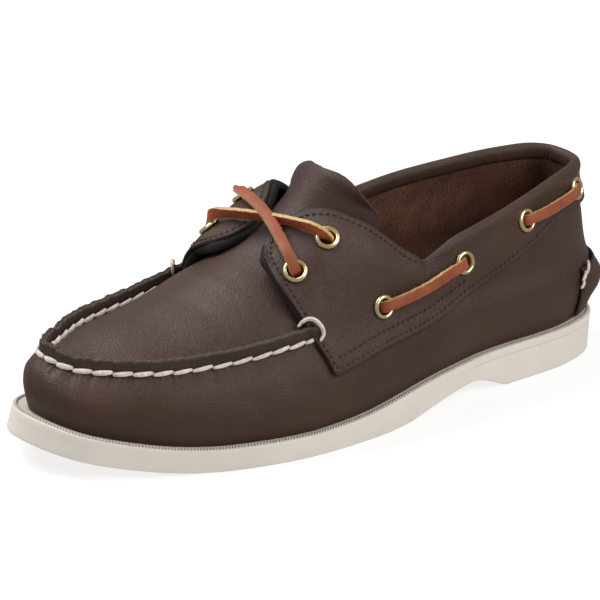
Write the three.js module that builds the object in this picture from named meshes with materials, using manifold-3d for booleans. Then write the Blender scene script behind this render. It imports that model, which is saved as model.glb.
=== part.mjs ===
// Left boat shoe, one of a pair, standing empty on its sole.
// Millimetres. Z is up, the toe points towards -Y and the outer side towards +X.
import * as THREE from "three";
import Module from "manifold-3d";

const wasm = await Module();
wasm.setup();

// Overall sizes of the sole
const LENGTH = 300;
const BALL_WIDTH = 103.3;
const FORE_SOLE = 10.3;
const HEEL_SOLE = 18.7;
const TOE_SPRING = 12.4;
const ARCH_LIFT = 7.4;
const SOLE_EDGE = 0.9;
const RIM_HEIGHT = 3.2;
const RIM_STEP = 0.4;
const BEAD_WIDTH = 1.7;
const BEAD_RISE = 0.5;

// Heights of the upper above the floor
const COLLAR_HEIGHT = 88.8;
const INSTEP_HEIGHT = 106;
const FOREPART_TWIST = 9.4;

// Leather thicknesses and fullness of the upper
const WALL = 2.0;
const OVERLAY = 1.6;
const TONGUE = 2.2;
const FIT = 0.3;
const SMALLEST = 0.02;
const LEDGE = 6.6;
const BELLY = 2.2;
const BELLY_RISE = 11;
const CHEEK = 2.2;
const RIDGE_HEIGHT = 6;
const RIDGE_WIDTH = 2.9;
const SEAM_TUCK = 0.9;
const INSOLE = 3;
const INSOLE_FIT = 0.8;

// Padded collar and heel lip
const ROLL_WIDTH = 5.8;
const ROLL_HEIGHT = 6;
const KICKER_LIP = 5.6;
const KICKER_TOP = 41;
const KICKER_FOOT = 3;

// Brass eyelets and leather lace
const EYELET_WIDTH = 10.8;
const EYELET_BORE = 5.8;
const EYELET_TUBE = 0.5;
const EYELET_LIP = 0.9;
const EYELET_SEAT = 0.7;
const LACE_WIDTH = 4.4;
const LACE_THICKNESS = 2.1;
const LACE_ARCH = 8.5;

// Where along the edge, toe 0 to heel 1, the parts of the upper begin and end
const SEAM_END = 0.4;
const RIDGE_END = 0.392;
const CORNER = 0.419;
const NOTCH = 0.569;
const ROLL_END = 0.583;
const KICKER_END = 0.925;

// Sole outline: along is the distance from the heel, out the distance from the centre line
const OUTLINE = [
  { along: 0.0003, out: -0.0426 },
  { along: 0.0333, out: 0.4724 },
  { along: 0.1003, out: 0.668 },
  { along: 0.2683, out: 0.7667 },
  { along: 0.414, out: 0.9177 },
  { along: 0.5307, out: 1.0184 },
  { along: 0.6527, out: 1.0242 },
  { along: 0.7693, out: 0.8809 },
  { along: 0.8817, out: 0.6254 },
  { along: 0.9687, out: 0.3117 },
  { along: 1, out: -0.182 },
  { along: 0.9747, out: -0.4802 },
  { along: 0.8953, out: -0.7744 },
  { along: 0.7843, out: -0.9855 },
  { along: 0.6663, out: -0.9758 },
  { along: 0.5333, out: -0.8228 },
  { along: 0.4, out: -0.6776 },
  { along: 0.2497, out: -0.6776 },
  { along: 0.108, out: -0.6699 },
  { along: 0.025, out: -0.4356 },
];

// Underside: lift of the arch between the heel block and the ball
const ARCH = [
  { along: 0.235, lift: 0 },
  { along: 0.31, lift: 1 },
  { along: 0.357, lift: 0.82 },
  { along: 0.395, lift: 0.55 },
  { along: 0.45, lift: 0.1 },
  { along: 0.49, lift: 0 },
];

// Sole thickness from the heel towards the ball, 1 at the heel and 0 at the ball
const WEDGE = [
  { along: 0.3, heel: 1 },
  { along: 0.39, heel: 0.84 },
  { along: 0.47, heel: 0.5 },
  { along: 0.55, heel: 0.16 },
  { along: 0.63, heel: 0 },
];

// Width of the sole that shows outside the upper, as shares of the toe ledge
const LEDGES = [
  { base: 0, share: 1 },
  { base: 0.1, share: 0.86 },
  { base: 0.2, share: 0.64 },
  { base: 0.35, share: 0.52 },
  { base: 0.8, share: 0.52 },
  { base: 0.93, share: 0.68 },
  { base: 1, share: 0.72 },
];

// Level curves of the upper. The seam runs round the toe and on along the quarters.
const SEAM = [
  { base: 0, along: 0.949, out: 0, rise: 0.497 },
  { base: 0.028, along: 0.945, out: 0.126, rise: 0.486 },
  { base: 0.07, along: 0.93, out: 0.252, rise: 0.468 },
  { base: 0.119, along: 0.887, out: 0.451, rise: 0.461 },
  { base: 0.185, along: 0.831, out: 0.645, rise: 0.466 },
  { base: 0.289, along: 0.736, out: 0.784, rise: 0.485 },
  { base: 0.35, along: 0.677, out: 0.844, rise: 0.511 },
  { base: 0.393, along: 0.627, out: 0.877, rise: 0.539 },
  { base: 0.427, along: 0.587, out: 0.875, rise: 0.552 },
  { base: 0.465, along: 0.543, out: 0.86, rise: 0.563 },
  { base: 0.519, along: 0.48, out: 0.825, rise: 0.574 },
  { base: 0.572, along: 0.42, out: 0.786, rise: 0.58 },
  { base: 0.688, along: 0.287, out: 0.707, rise: 0.563 },
  { base: 0.774, along: 0.187, out: 0.639, rise: 0.563 },
  { base: 0.84, along: 0.117, out: 0.571, rise: 0.563 },
  { base: 0.91, along: 0.044, out: 0.385, rise: 0.563 },
  { base: 0.955, along: 0.018, out: 0.21, rise: 0.563 },
  { base: 1, along: 0.011, out: 0, rise: 0.563 },
];

// Middle of the wing over the instep and of the quarter behind it
const MIDDLE = [
  { base: 0.4, along: 0.637, out: 0.591, rise: 0.64 },
  { base: 0.411, along: 0.618, out: 0.571, rise: 0.679 },
  { base: 0.427, along: 0.592, out: 0.571, rise: 0.726 },
  { base: 0.445, along: 0.57, out: 0.581, rise: 0.774 },
  { base: 0.465, along: 0.542, out: 0.61, rise: 0.792 },
  { base: 0.491, along: 0.51, out: 0.678, rise: 0.755 },
  { base: 0.519, along: 0.475, out: 0.728, rise: 0.679 },
  { base: 0.545, along: 0.447, out: 0.749, rise: 0.623 },
  { base: 0.572, along: 0.418, out: 0.755, rise: 0.59 },
  { base: 0.601, along: 0.387, out: 0.742, rise: 0.575 },
  { base: 0.688, along: 0.287, out: 0.697, rise: 0.594 },
  { base: 0.774, along: 0.187, out: 0.604, rise: 0.613 },
  { base: 0.84, along: 0.115, out: 0.503, rise: 0.623 },
  { base: 0.91, along: 0.051, out: 0.345, rise: 0.623 },
  { base: 0.955, along: 0.027, out: 0.19, rise: 0.623 },
  { base: 1, along: 0.0185, out: 0, rise: 0.623 },
];

// Free edge of the wing, down to the notch, and on below the padded collar
const TOP = [
  { base: 0.4, along: 0.637, out: 0.339, rise: 0.717 },
  { base: 0.411, along: 0.619, out: 0.213, rise: 0.755 },
  { base: 0.427, along: 0.59, out: 0.174, rise: 0.798 },
  { base: 0.445, along: 0.562, out: 0.232, rise: 0.858 },
  { base: 0.465, along: 0.54, out: 0.364, rise: 0.882 },
  { base: 0.491, along: 0.508, out: 0.507, rise: 0.845 },
  { base: 0.519, along: 0.468, out: 0.596, rise: 0.768 },
  { base: 0.545, along: 0.443, out: 0.654, rise: 0.709 },
  { base: 0.569, along: 0.419, out: 0.693, rise: 0.666 },
  { base: 0.58, along: 0.407, out: 0.697, rise: 0.634 },
  { base: 0.601, along: 0.387, out: 0.697, rise: 0.644 },
  { base: 0.688, along: 0.287, out: 0.651, rise: 0.697 },
  { base: 0.774, along: 0.187, out: 0.53, rise: 0.739 },
  { base: 0.84, along: 0.115, out: 0.408, rise: 0.767 },
  { base: 0.91, along: 0.058, out: 0.278, rise: 0.779 },
  { base: 0.955, along: 0.039, out: 0.158, rise: 0.779 },
  { base: 1, along: 0.032, out: 0, rise: 0.776 },
];

// Lower edge of the eyestay and collar band
const BAND = [
  { base: 0.4, rise: 0.545 },
  { base: 0.41, rise: 0.46 },
  { base: 0.419, rise: 0.387 },
  { base: 0.459, rise: 0.414 },
  { base: 0.496, rise: 0.445 },
  { base: 0.589, rise: 0.488 },
  { base: 0.676, rise: 0.583 },
  { base: 0.766, rise: 0.691 },
  { base: 0.849, rise: 0.779 },
  { base: 0.91, rise: 0.788 },
  { base: 1, rise: 0.783 },
];

// Crown of the apron: each rung runs from the seam at its base over the middle
const APRON = [
  { base: 0.028, along: 0.9452, rise: 0.4085 },
  { base: 0.07, along: 0.935, rise: 0.414 },
  { base: 0.119, along: 0.9, rise: 0.427 },
  { base: 0.185, along: 0.85, rise: 0.462 },
  { base: 0.235, along: 0.803, rise: 0.489 },
  { base: 0.289, along: 0.76, rise: 0.521 },
  { base: 0.35, along: 0.708, rise: 0.573 },
  { base: 0.4, along: 0.66, rise: 0.628 },
];

// Tongue: middle line from the apron to the top, and its edge at each place
const TONGUE_LINE = [
  { step: 0, along: 0.6575, rise: 0.631, edge: 0.624, out: 0.725, side: 0.493 },
  { step: 0.2, along: 0.625, rise: 0.677, edge: 0.585, out: 0.685, side: 0.538 },
  { step: 0.38, along: 0.594, rise: 0.735, edge: 0.545, out: 0.65, side: 0.585 },
  { step: 0.55, along: 0.564, rise: 0.802, edge: 0.505, out: 0.58, side: 0.65 },
  { step: 0.7, along: 0.54, rise: 0.868, edge: 0.463, out: 0.505, side: 0.752 },
  { step: 0.83, along: 0.522, rise: 0.926, edge: 0.463, out: 0.51, side: 0.84 },
  { step: 0.94, along: 0.508, rise: 0.972, edge: 0.476, out: 0.45, side: 0.925 },
  { step: 1, along: 0.502, rise: 0.992, edge: 0.49, out: 0.28, side: 0.968 },
];

// Heel lip: how far it stands out between its foot and its top
const LIP = [
  { rise: 0, share: 0.3 },
  { rise: 0.25, share: 0.5 },
  { rise: 0.55, share: 0.95 },
  { rise: 0.75, share: 1 },
  { rise: 0.92, share: 0.6 },
  { rise: 1, share: 0.35 },
];

// Eyelets: place along the edge and height on the wing or band
const THROAT_EYELETS = [
  { name: "lower", base: 0.414, rise: 0.69 },
  { name: "upper", base: 0.452, rise: 0.8 },
];
const COLLAR_EYELETS = [
  { name: "1", base: 0.505, rise: 0.523 },
  { name: "2", base: 0.647, rise: 0.604 },
  { name: "3", base: 0.763, rise: 0.689 },
  { name: "4", base: 0.892, rise: 0.723 },
];

// Reading a column of a table as a smooth curve without overshoot
function read(table, key, column, at) {
  const last = table.length - 1;
  const place = Math.min(Math.max(at, table[0][key]), table[last][key]);
  let i = 0;
  while (i < last - 1 && place > table[i + 1][key]) i += 1;
  const run = (k) => table[k + 1][key] - table[k][key];
  const slope = (k) => (table[k + 1][column] - table[k][column]) / run(k);
  const lean = (k) => {
    if (k === 0) return slope(0);
    if (k === last) return slope(last - 1);
    const before = slope(k - 1);
    const after = slope(k);
    if (before * after <= 0) return 0;
    return (2 * before * after) / (before + after);
  };
  const t = (place - table[i][key]) / run(i);
  const rise = t * t * (3 - 2 * t);
  const start = table[i][column] * (1 - rise) + table[i + 1][column] * rise;
  return start + run(i) * (lean(i) * t * (1 - t) * (1 - t) - lean(i + 1) * t * t * (1 - t));
}

// The sole outline as two edges, outer side 1 and inner side -1, each from toe to heel
const HALF = BALL_WIDTH / 2;
const loop = new THREE.CatmullRomCurve3(
  OUTLINE.map((p) => new THREE.Vector3(p.along * LENGTH, p.out * HALF, 0)),
  true,
  "centripetal",
).getSpacedPoints(720);
loop.pop();

function edgeOf(side) {
  const heel = loop.reduce((best, p, i) => (p.x < loop[best].x ? i : best), 0);
  const toe = loop.reduce((best, p, i) => (p.x > loop[best].x ? i : best), 0);
  const count = (((heel - toe) * -side + loop.length) % loop.length) + 1;
  const wrap = (i) => loop[((i % loop.length) + loop.length) % loop.length];
  return Array.from({ length: count }, (_, k) => {
    const i = toe - side * k;
    const along = wrap(i - 1).clone().sub(wrap(i + 1)).normalize();
    return {
      share: k / (count - 1),
      far: (loop[toe].x - wrap(i).x) / (loop[toe].x - loop[heel].x),
      along: wrap(i).x,
      out: wrap(i).y,
      headAlong: along.y,
      headOut: -along.x,
    };
  });
}
const EDGES = { 1: edgeOf(1), [-1]: edgeOf(-1) };

function edgeAt(side, key, at) {
  const edge = EDGES[side];
  let low = 0;
  let high = edge.length - 1;
  while (high - low > 1) {
    const middle = (low + high) >> 1;
    if (edge[middle][key] <= at) low = middle;
    else high = middle;
  }
  const t = Math.min(Math.max((at - edge[low][key]) / (edge[high][key] - edge[low][key] || 1), 0), 1);
  const mix = (name) => edge[low][name] * (1 - t) + edge[high][name] * t;
  return { along: mix("along"), out: mix("out"), headAlong: mix("headAlong"), headOut: mix("headOut") };
}

// Heights of the sole at a distance from the heel
const SPRING_START = 0.75 * LENGTH;
const springRun = LENGTH - SPRING_START;
const spring = (along) => TOE_SPRING * Math.max(0, (along - SPRING_START) / springRun) ** 2;
const springSlope = (along) => (2 * TOE_SPRING * Math.max(0, along - SPRING_START)) / springRun ** 2;
const arch = (along) => ARCH_LIFT * read(ARCH, "along", "lift", along / LENGTH);
const thickness = (along) => {
  return FORE_SOLE + (HEEL_SOLE - FORE_SOLE) * read(WEDGE, "along", "heel", along / LENGTH);
};
const place = (along, out, rise) => new THREE.Vector3(out, LENGTH / 2 - along, rise);

// A point of the sole, moved in from its outline and up from its sprung underside
function solePoint(edge, inset, height) {
  const along = edge.along - edge.headAlong * inset;
  const out = edge.out - edge.headOut * inset;
  const rise = height(along);
  const tilt = Math.min(rise, thickness(along));
  return place(along - tilt * springSlope(along), out, spring(along) + rise);
}

// The middle line of the upper swings towards the inner side in front of the waist
const middle = (along) => -FOREPART_TWIST * Math.max(0, (along / LENGTH - 0.5) / 0.45);
function level(table, height, side, base) {
  const along = read(table, "base", "along", base) * LENGTH;
  const out = read(table, "base", "out", base) * HALF;
  const rise = read(table, "base", "rise", base) * height;
  return place(along, middle(along) + side * out, rise);
}

// One rib of the upper from the sole to the seam or to the top edge
function rib(side, base) {
  const edge = edgeAt(side, "share", base);
  const ledge = LEDGE * read(LEDGES, "base", "share", base);
  const foot = solePoint(edge, ledge, (along) => thickness(along) + FIT);
  const belly = solePoint(edge, ledge - BELLY, (along) => thickness(along) + BELLY_RISE);
  const seam = level(SEAM, COLLAR_HEIGHT, side, base);
  const cheek = belly.clone().lerp(seam, 0.55);
  cheek.add(place(edge.headAlong, edge.headOut, 0).sub(place(0, 0, 0)).multiplyScalar(CHEEK));
  const points = [foot, belly, cheek, seam];
  if (base >= SEAM_END) {
    points.push(level(MIDDLE, INSTEP_HEIGHT, side, base), level(TOP, INSTEP_HEIGHT, side, base));
  }
  const knots = [0];
  for (let i = 1; i < points.length; i += 1) {
    knots.push(knots[i - 1] + Math.sqrt(points[i].distanceTo(points[i - 1])));
  }
  return { points, knots };
}

// A point of a smooth line through given points, at a share of its knots
function follow({ points, knots }, share) {
  const last = points.length - 1;
  const at = share * knots[last];
  let i = 0;
  while (i < last - 1 && at > knots[i + 1]) i += 1;
  const chord = (k) => points[k + 1].clone().sub(points[k]).divideScalar(knots[k + 1] - knots[k]);
  const lean = (k) => {
    if (k === 0) return chord(0);
    if (k === last) return chord(last - 1);
    const before = knots[k] - knots[k - 1];
    const after = knots[k + 1] - knots[k];
    return chord(k - 1).multiplyScalar(after).addScaledVector(chord(k), before).divideScalar(before + after);
  };
  const run = knots[i + 1] - knots[i];
  const t = (at - knots[i]) / run;
  const rise = t * t * (3 - 2 * t);
  return points[i].clone().multiplyScalar(1 - rise).addScaledVector(points[i + 1], rise)
    .addScaledVector(lean(i), run * t * (1 - t) * (1 - t))
    .addScaledVector(lean(i + 1), -run * t * t * (1 - t));
}

function shareAt(line, rise) {
  let low = 0;
  let high = 1;
  for (let i = 0; i < 30; i += 1) {
    const half = (low + high) / 2;
    if (follow(line, half).z < rise) low = half;
    else high = half;
  }
  return (low + high) / 2;
}

// A rib as rows of points: LOW_ROWS up to the seam or band edge, HIGH_ROWS above it
const LOW_ROWS = 5;
const HIGH_ROWS = 5;
function ribRows(side, base) {
  const line = rib(side, base);
  const behind = base >= SEAM_END;
  const band = COLLAR_HEIGHT * read(BAND, "base", "rise", base);
  const split = behind ? shareAt(line, band) : 1;
  const rows = [];
  for (let j = 0; j <= LOW_ROWS; j += 1) rows.push(follow(line, (split * j) / LOW_ROWS));
  for (let j = 1; j <= HIGH_ROWS; j += 1) {
    rows.push(behind ? follow(line, split + ((1 - split) * j) / HIGH_ROWS) : rows[LOW_ROWS].clone());
  }
  return rows;
}

// Stations round the shoe: front ones up to the seam end, then the wing, then the quarter
const spread = (from, to, count) => {
  return Array.from({ length: count }, (_, i) => from + ((to - from) * i) / count);
};
const STATIONS = [
  ...spread(0, SEAM_END, 12),
  ...spread(SEAM_END, CORNER, 2),
  ...spread(CORNER, NOTCH, 7),
  ...spread(NOTCH, ROLL_END, 1),
  ...spread(ROLL_END, KICKER_END, 10),
  ...spread(KICKER_END, 1, 3),
];
const ROUND = [
  ...STATIONS.map((base) => ({ side: 1, base })),
  { side: 1, base: 1 },
  ...STATIONS.slice(1).reverse().map((base) => ({ side: -1, base })),
];
const SKIN = ROUND.map(({ side, base }) => ribRows(side, base));
const isBehind = (i) => ROUND[i % ROUND.length].base >= SEAM_END - 1e-9;

// Outward directions of a grid of points
function headings(grid, closed) {
  const count = grid.length;
  const rows = grid[0].length;
  const pick = (i) => (closed ? (i + count) % count : Math.min(Math.max(i, 0), count - 1));
  return grid.map((line, i) => line.map((_, j) => {
    const round = grid[pick(i + 1)][j].clone().sub(grid[pick(i - 1)][j]);
    const up = line[Math.min(j + 1, rows - 1)].clone().sub(line[Math.max(j - 1, 0)]);
    return round.cross(up).normalize();
  }));
}

// Triangles with shared corners, facing outwards
function solidOf(faces) {
  const corners = new Map();
  const points = [];
  const index = (p) => {
    const key = [p.x, p.y, p.z].map((v) => Math.round(v * 1000)).join(" ");
    if (!corners.has(key)) {
      corners.set(key, points.length / 3);
      points.push(p.x, p.y, p.z);
    }
    return corners.get(key);
  };
  const triangles = faces.map((face) => face.map(index))
    .filter(([a, b, c]) => a !== b && b !== c && c !== a);
  const at = (i) => new THREE.Vector3().fromArray(points, 3 * i);
  const volume = triangles.reduce((sum, [a, b, c]) => sum + at(a).dot(at(b).cross(at(c))), 0);
  const turned = volume < 0 ? triangles.map(([a, b, c]) => [a, c, b]) : triangles;
  return new wasm.Manifold(new wasm.Mesh({
    numProp: 3,
    vertProperties: new Float32Array(points),
    triVerts: new Uint32Array(turned.flat()),
  }));
}

const quad = (a, b, c, d) => [[a, b, c], [a, c, d]];

// A sheet of leather over the live cells of a grid, between two distances from it
function sheet(grid, closed, live, inner, outer) {
  const count = grid.length;
  const rows = grid[0].length;
  const heads = headings(grid, closed);
  const wrap = (i) => (closed ? (i + count) % count : i);
  const shift = (i, j, distance) => {
    const k = wrap(i);
    return grid[k][j].clone().addScaledVector(heads[k][j], distance(k, j));
  };
  const isLive = (i, j) => {
    if (j < 0 || j > rows - 2) return false;
    if (!closed && (i < 0 || i > count - 2)) return false;
    return live(wrap(i), j);
  };
  const faces = [];
  for (let i = 0; i < (closed ? count : count - 1); i += 1) {
    for (let j = 0; j < rows - 1; j += 1) {
      if (!isLive(i, j)) continue;
      const ring = [[i, j], [i + 1, j], [i + 1, j + 1], [i, j + 1]];
      const far = ring.map(([a, b]) => shift(a, b, outer));
      const near = ring.map(([a, b]) => shift(a, b, inner));
      faces.push(...quad(far[0], far[1], far[2], far[3]));
      faces.push(...quad(near[0], near[1], near[2], near[3]).map(([a, b, c]) => [a, c, b]));
      const sides = [[i, j - 1], [i + 1, j], [i, j + 1], [i - 1, j]];
      sides.forEach(([a, b], k) => {
        if (isLive(a, b)) return;
        const next = (k + 1) % 4;
        faces.push(...quad(far[next], far[k], near[k], near[next]));
      });
    }
  }
  return solidOf(faces);
}

// A bar with a closed section, swept through sections that each list their corners
function bar(sections) {
  const size = sections[0].length;
  const faces = [];
  for (let i = 0; i < sections.length - 1; i += 1) {
    for (let k = 0; k < size; k += 1) {
      const n = (k + 1) % size;
      faces.push(...quad(sections[i][k], sections[i][n], sections[i + 1][n], sections[i + 1][k]));
    }
  }
  const first = sections[0];
  const last = sections[sections.length - 1];
  for (let k = 1; k < size - 1; k += 1) {
    faces.push([first[0], first[k + 1], first[k]]);
    faces.push([last[0], last[k], last[k + 1]]);
  }
  return solidOf(faces);
}

// Sole: rings of points at equal distances from the heel on both sides
const SOLE_STEPS = 36;
const soleAlongs = [
  ...Array.from({ length: SOLE_STEPS + 1 }, (_, i) => (1 - Math.cos((Math.PI * i) / SOLE_STEPS)) / 2),
  ARCH[0].along,
  ARCH[1].along,
  ARCH[5].along,
].sort((a, b) => a - b).map((share) => share * LENGTH);

// Two halves of one plate, as rows of points on each side, closed across its faces
function plate(lateral, medial) {
  const faces = [];
  const rows = lateral[0].length;
  const last = lateral.length - 1;
  for (let i = 0; i < last; i += 1) {
    for (let j = 0; j < rows - 1; j += 1) {
      faces.push(...quad(lateral[i][j], lateral[i][j + 1], lateral[i + 1][j + 1], lateral[i + 1][j]));
      faces.push(...quad(medial[i][j], medial[i + 1][j], medial[i + 1][j + 1], medial[i][j + 1]));
    }
    faces.push(...quad(lateral[i][0], lateral[i + 1][0], medial[i + 1][0], medial[i][0]));
    const top = rows - 1;
    faces.push(...quad(lateral[i][top], medial[i][top], medial[i + 1][top], lateral[i + 1][top]));
  }
  return solidOf(faces);
}

const soleProfile = [
  { inset: SOLE_EDGE, height: arch },
  { inset: 0, height: (along) => arch(along) + SOLE_EDGE },
  { inset: 0, height: (along) => thickness(along) - RIM_HEIGHT },
  { inset: -RIM_STEP, height: (along) => thickness(along) - RIM_HEIGHT + RIM_STEP },
  { inset: -RIM_STEP, height: (along) => thickness(along) + BEAD_RISE - RIM_STEP },
  { inset: 0, height: (along) => thickness(along) + BEAD_RISE },
  { inset: BEAD_WIDTH, height: (along) => thickness(along) + BEAD_RISE },
  { inset: BEAD_WIDTH + BEAD_RISE, height: thickness },
];
const soleSide = (side) => soleAlongs.map((along) => {
  const edge = edgeAt(side, "far", 1 - along / LENGTH);
  return soleProfile.map(({ inset, height }) => solePoint(edge, inset, height));
});
const outsole = plate(soleSide(1), soleSide(-1));

// Insole: lies on the sole inside the wall
const insoleSide = (side) => [...STATIONS, 1].map((base) => {
  const edge = edgeAt(side, "share", base);
  const inset = LEDGE * read(LEDGES, "base", "share", base) + WALL + INSOLE_FIT;
  return [
    solePoint(edge, inset, (along) => thickness(along) + FIT),
    solePoint(edge, inset, (along) => thickness(along) + FIT + INSOLE),
  ];
});
const insole = plate(insoleSide(1), insoleSide(-1));

// Wall of the upper with its wings, then the apron and the raised seam
const wall = sheet(SKIN, true, (i, j) => j < LOW_ROWS || (isBehind(i) && isBehind(i + 1)), () => -WALL, () => 0);

const ACROSS = 8;
const crown = (c) => c * c;
function rung(spine, edgeOn) {
  return Array.from({ length: ACROSS + 1 }, (_, k) => {
    const c = Math.sin((Math.PI / 2) * ((2 * k) / ACROSS - 1));
    const edge = edgeOn(c < 0 ? -1 : 1);
    const drop = crown(c);
    return new THREE.Vector3(
      spine.x + (edge.x - spine.x) * Math.abs(c),
      spine.y + (edge.y - spine.y) * drop,
      spine.z + (edge.z - spine.z) * drop,
    );
  });
}
const apronRung = (base) => {
  const along = read(APRON, "base", "along", base) * LENGTH;
  const spine = place(along, middle(along), read(APRON, "base", "rise", base) * INSTEP_HEIGHT);
  return rung(spine, (side) => {
    const seam = level(SEAM, COLLAR_HEIGHT, side, base);
    return seam.add(new THREE.Vector3(-side * SEAM_TUCK, 0, -SEAM_TUCK));
  });
};
const apronBases = [...spread(APRON[0].base, SEAM_END, 11), SEAM_END];
const apron = sheet(apronBases.map(apronRung), false, () => true, () => -WALL, () => 0);

const ridgeBases = [...spread(0, RIDGE_END, 12), RIDGE_END];
const ridgeRound = [
  ...ridgeBases.slice(1).reverse().map((base) => ({ side: -1, base })),
  ...ridgeBases.map((base) => ({ side: 1, base })),
];
const ridgeLine = ridgeRound.map(({ side, base }) => level(SEAM, COLLAR_HEIGHT, side, base));
const ridge = bar(ridgeLine.map((seam, i) => {
  const ahead = ridgeLine[Math.min(i + 1, ridgeLine.length - 1)];
  const behind = ridgeLine[Math.max(i - 1, 0)];
  const outward = ahead.clone().sub(behind).setZ(0).normalize().cross(new THREE.Vector3(0, 0, -1));
  const corner = (inset, rise) => {
    return seam.clone().addScaledVector(outward, inset).add(new THREE.Vector3(0, 0, rise));
  };
  return [
    corner(WALL / 10, -WALL),
    corner(WALL / 4, RIDGE_HEIGHT),
    corner(WALL / 4 + RIDGE_WIDTH, RIDGE_HEIGHT),
    corner(WALL / 10 + RIDGE_WIDTH, -WALL),
  ];
}));

// Eyelet places: a point on the overlay with its outward direction
function overlaySpot(side, base, rise) {
  const point = (b, extra) => {
    const line = rib(side, b);
    return follow(line, shareAt(line, rise) + extra);
  };
  const step = 0.01;
  const here = point(base, 0);
  const round = follow(rib(side, base + step), shareAt(rib(side, base), rise))
    .sub(follow(rib(side, base - step), shareAt(rib(side, base), rise)));
  const up = point(base, step).sub(point(base, -step));
  const head = round.cross(up).normalize().multiplyScalar(side);
  return { head, up: up.normalize(), point: here.addScaledVector(head, FIT + OVERLAY) };
}
const eyeletSpots = [];
[1, -1].forEach((side) => {
  const sideName = side > 0 ? "lateral" : "medial";
  THROAT_EYELETS.forEach((row) => {
    const spot = overlaySpot(side, row.base, row.rise * INSTEP_HEIGHT);
    eyeletSpots.push({ name: `eyelet_throat_${sideName}_${row.name}`, ...spot });
  });
  COLLAR_EYELETS.forEach((row) => {
    const spot = overlaySpot(side, row.base, row.rise * INSTEP_HEIGHT);
    eyeletSpots.push({ name: `eyelet_collar_${sideName}_${row.name}`, ...spot });
  });
});
const UP = new THREE.Vector3(0, 0, 1);
function seated(solid, spot) {
  const turn = new THREE.Quaternion().setFromUnitVectors(UP, spot.head);
  const frame = new THREE.Matrix4().compose(spot.point, turn, new THREE.Vector3(1, 1, 1));
  return solid.transform(frame.elements);
}
const TUBE_RADIUS = EYELET_BORE / 2 + EYELET_TUBE;
const TUBE_DEPTH = OVERLAY + FIT + WALL;
const ROUND_SIDES = 12;
const hole = wasm.Manifold.cylinder(4 * TUBE_DEPTH, TUBE_RADIUS + FIT, TUBE_RADIUS + FIT, ROUND_SIDES, true);
const holes = eyeletSpots.map((spot) => seated(hole, spot));
const pierced = (solid) => holes.reduce((rest, cut) => rest.subtract(cut), solid).simplify(SMALLEST);

const disc = (radius, from, to) => {
  return wasm.Manifold.cylinder(to - from, radius, radius, ROUND_SIDES).translate([0, 0, from]);
};
const eyelet = disc(TUBE_RADIUS, -TUBE_DEPTH, EYELET_SEAT + EYELET_LIP)
  .add(disc(EYELET_WIDTH / 2, EYELET_SEAT, EYELET_SEAT + EYELET_LIP))
  .subtract(disc(EYELET_BORE / 2, -2 * TUBE_DEPTH, 2 * TUBE_DEPTH));

const upper = pierced(wall.add(apron).add(ridge));

// Overlays: eyestay with collar band on each side, meeting behind the heel
const heelMark = ROUND.findIndex(({ base }) => base === 1);
const overlayCells = (side) => (i, j) => {
  const onSide = side > 0 ? i < heelMark : i >= heelMark;
  return onSide && j >= LOW_ROWS && isBehind(i) && isBehind(i + 1);
};
const overlay = (side) => sheet(SKIN, true, overlayCells(side), () => FIT, () => FIT + OVERLAY);
const overlays = overlay(1).add(overlay(-1));

// Padded collar round the top edge, from notch to notch
const rollRound = ROUND.filter(({ base }) => base >= ROLL_END - 1e-9);
const rollLine = rollRound.map(({ side, base }) => {
  return level(TOP, INSTEP_HEIGHT, side, base).add(new THREE.Vector3(0, 0, FIT + ROLL_HEIGHT / 2));
});
const ROLL_SIDES = 8;
const roll = bar(rollLine.map((centre, i) => {
  const ahead = rollLine[Math.min(i + 1, rollLine.length - 1)];
  const behind = rollLine[Math.max(i - 1, 0)];
  const outward = ahead.clone().sub(behind).setZ(0).normalize().cross(UP);
  const along = ahead.clone().sub(behind).normalize();
  const upward = outward.clone().cross(along).multiplyScalar(-1);
  return Array.from({ length: ROLL_SIDES }, (_, k) => {
    const angle = (2 * Math.PI * k) / ROLL_SIDES;
    return centre.clone()
      .addScaledVector(outward, (ROLL_WIDTH / 2) * Math.cos(angle))
      .addScaledVector(upward, (ROLL_HEIGHT / 2) * Math.sin(angle));
  });
}));

// Heel lip on the back of the wall
const LIP_ROWS = 6;
const lipRound = ROUND.filter(({ base }) => base >= KICKER_END - 1e-9);
const lipGrid = lipRound.map(({ side, base }) => {
  const line = rib(side, base);
  const foot = line.points[0].z + KICKER_FOOT;
  return Array.from({ length: LIP_ROWS + 1 }, (_, j) => {
    return follow(line, shareAt(line, foot + ((KICKER_TOP - foot) * j) / LIP_ROWS));
  });
});
const lipOut = (i, j) => {
  const fade = (lipRound[i].base - KICKER_END) / (1 - KICKER_END);
  const full = read(LIP, "rise", "share", j / LIP_ROWS);
  return FIT + KICKER_LIP * (0.3 + (full - 0.3) * Math.sin((Math.PI / 2) * Math.min(2 * fade, 1)));
};
const kicker = sheet(lipGrid, false, () => true, () => FIT, lipOut);

// Tongue: carries the apron's curve on under the lace and up to its rounded top
const TONGUE_ROWS = 10;
const tongueGrid = Array.from({ length: TONGUE_ROWS + 1 }, (_, i) => {
  const get = (column) => read(TONGUE_LINE, "step", column, i / TONGUE_ROWS);
  const along = get("along") * LENGTH;
  const edge = get("edge") * LENGTH;
  const spine = place(along, middle(along), get("rise") * INSTEP_HEIGHT);
  return rung(spine, (side) => {
    return place(edge, middle(edge) + side * get("out") * HALF, get("side") * INSTEP_HEIGHT);
  });
});
const tongue = sheet(tongueGrid, false, () => true, () => -TONGUE, () => 0);

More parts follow.
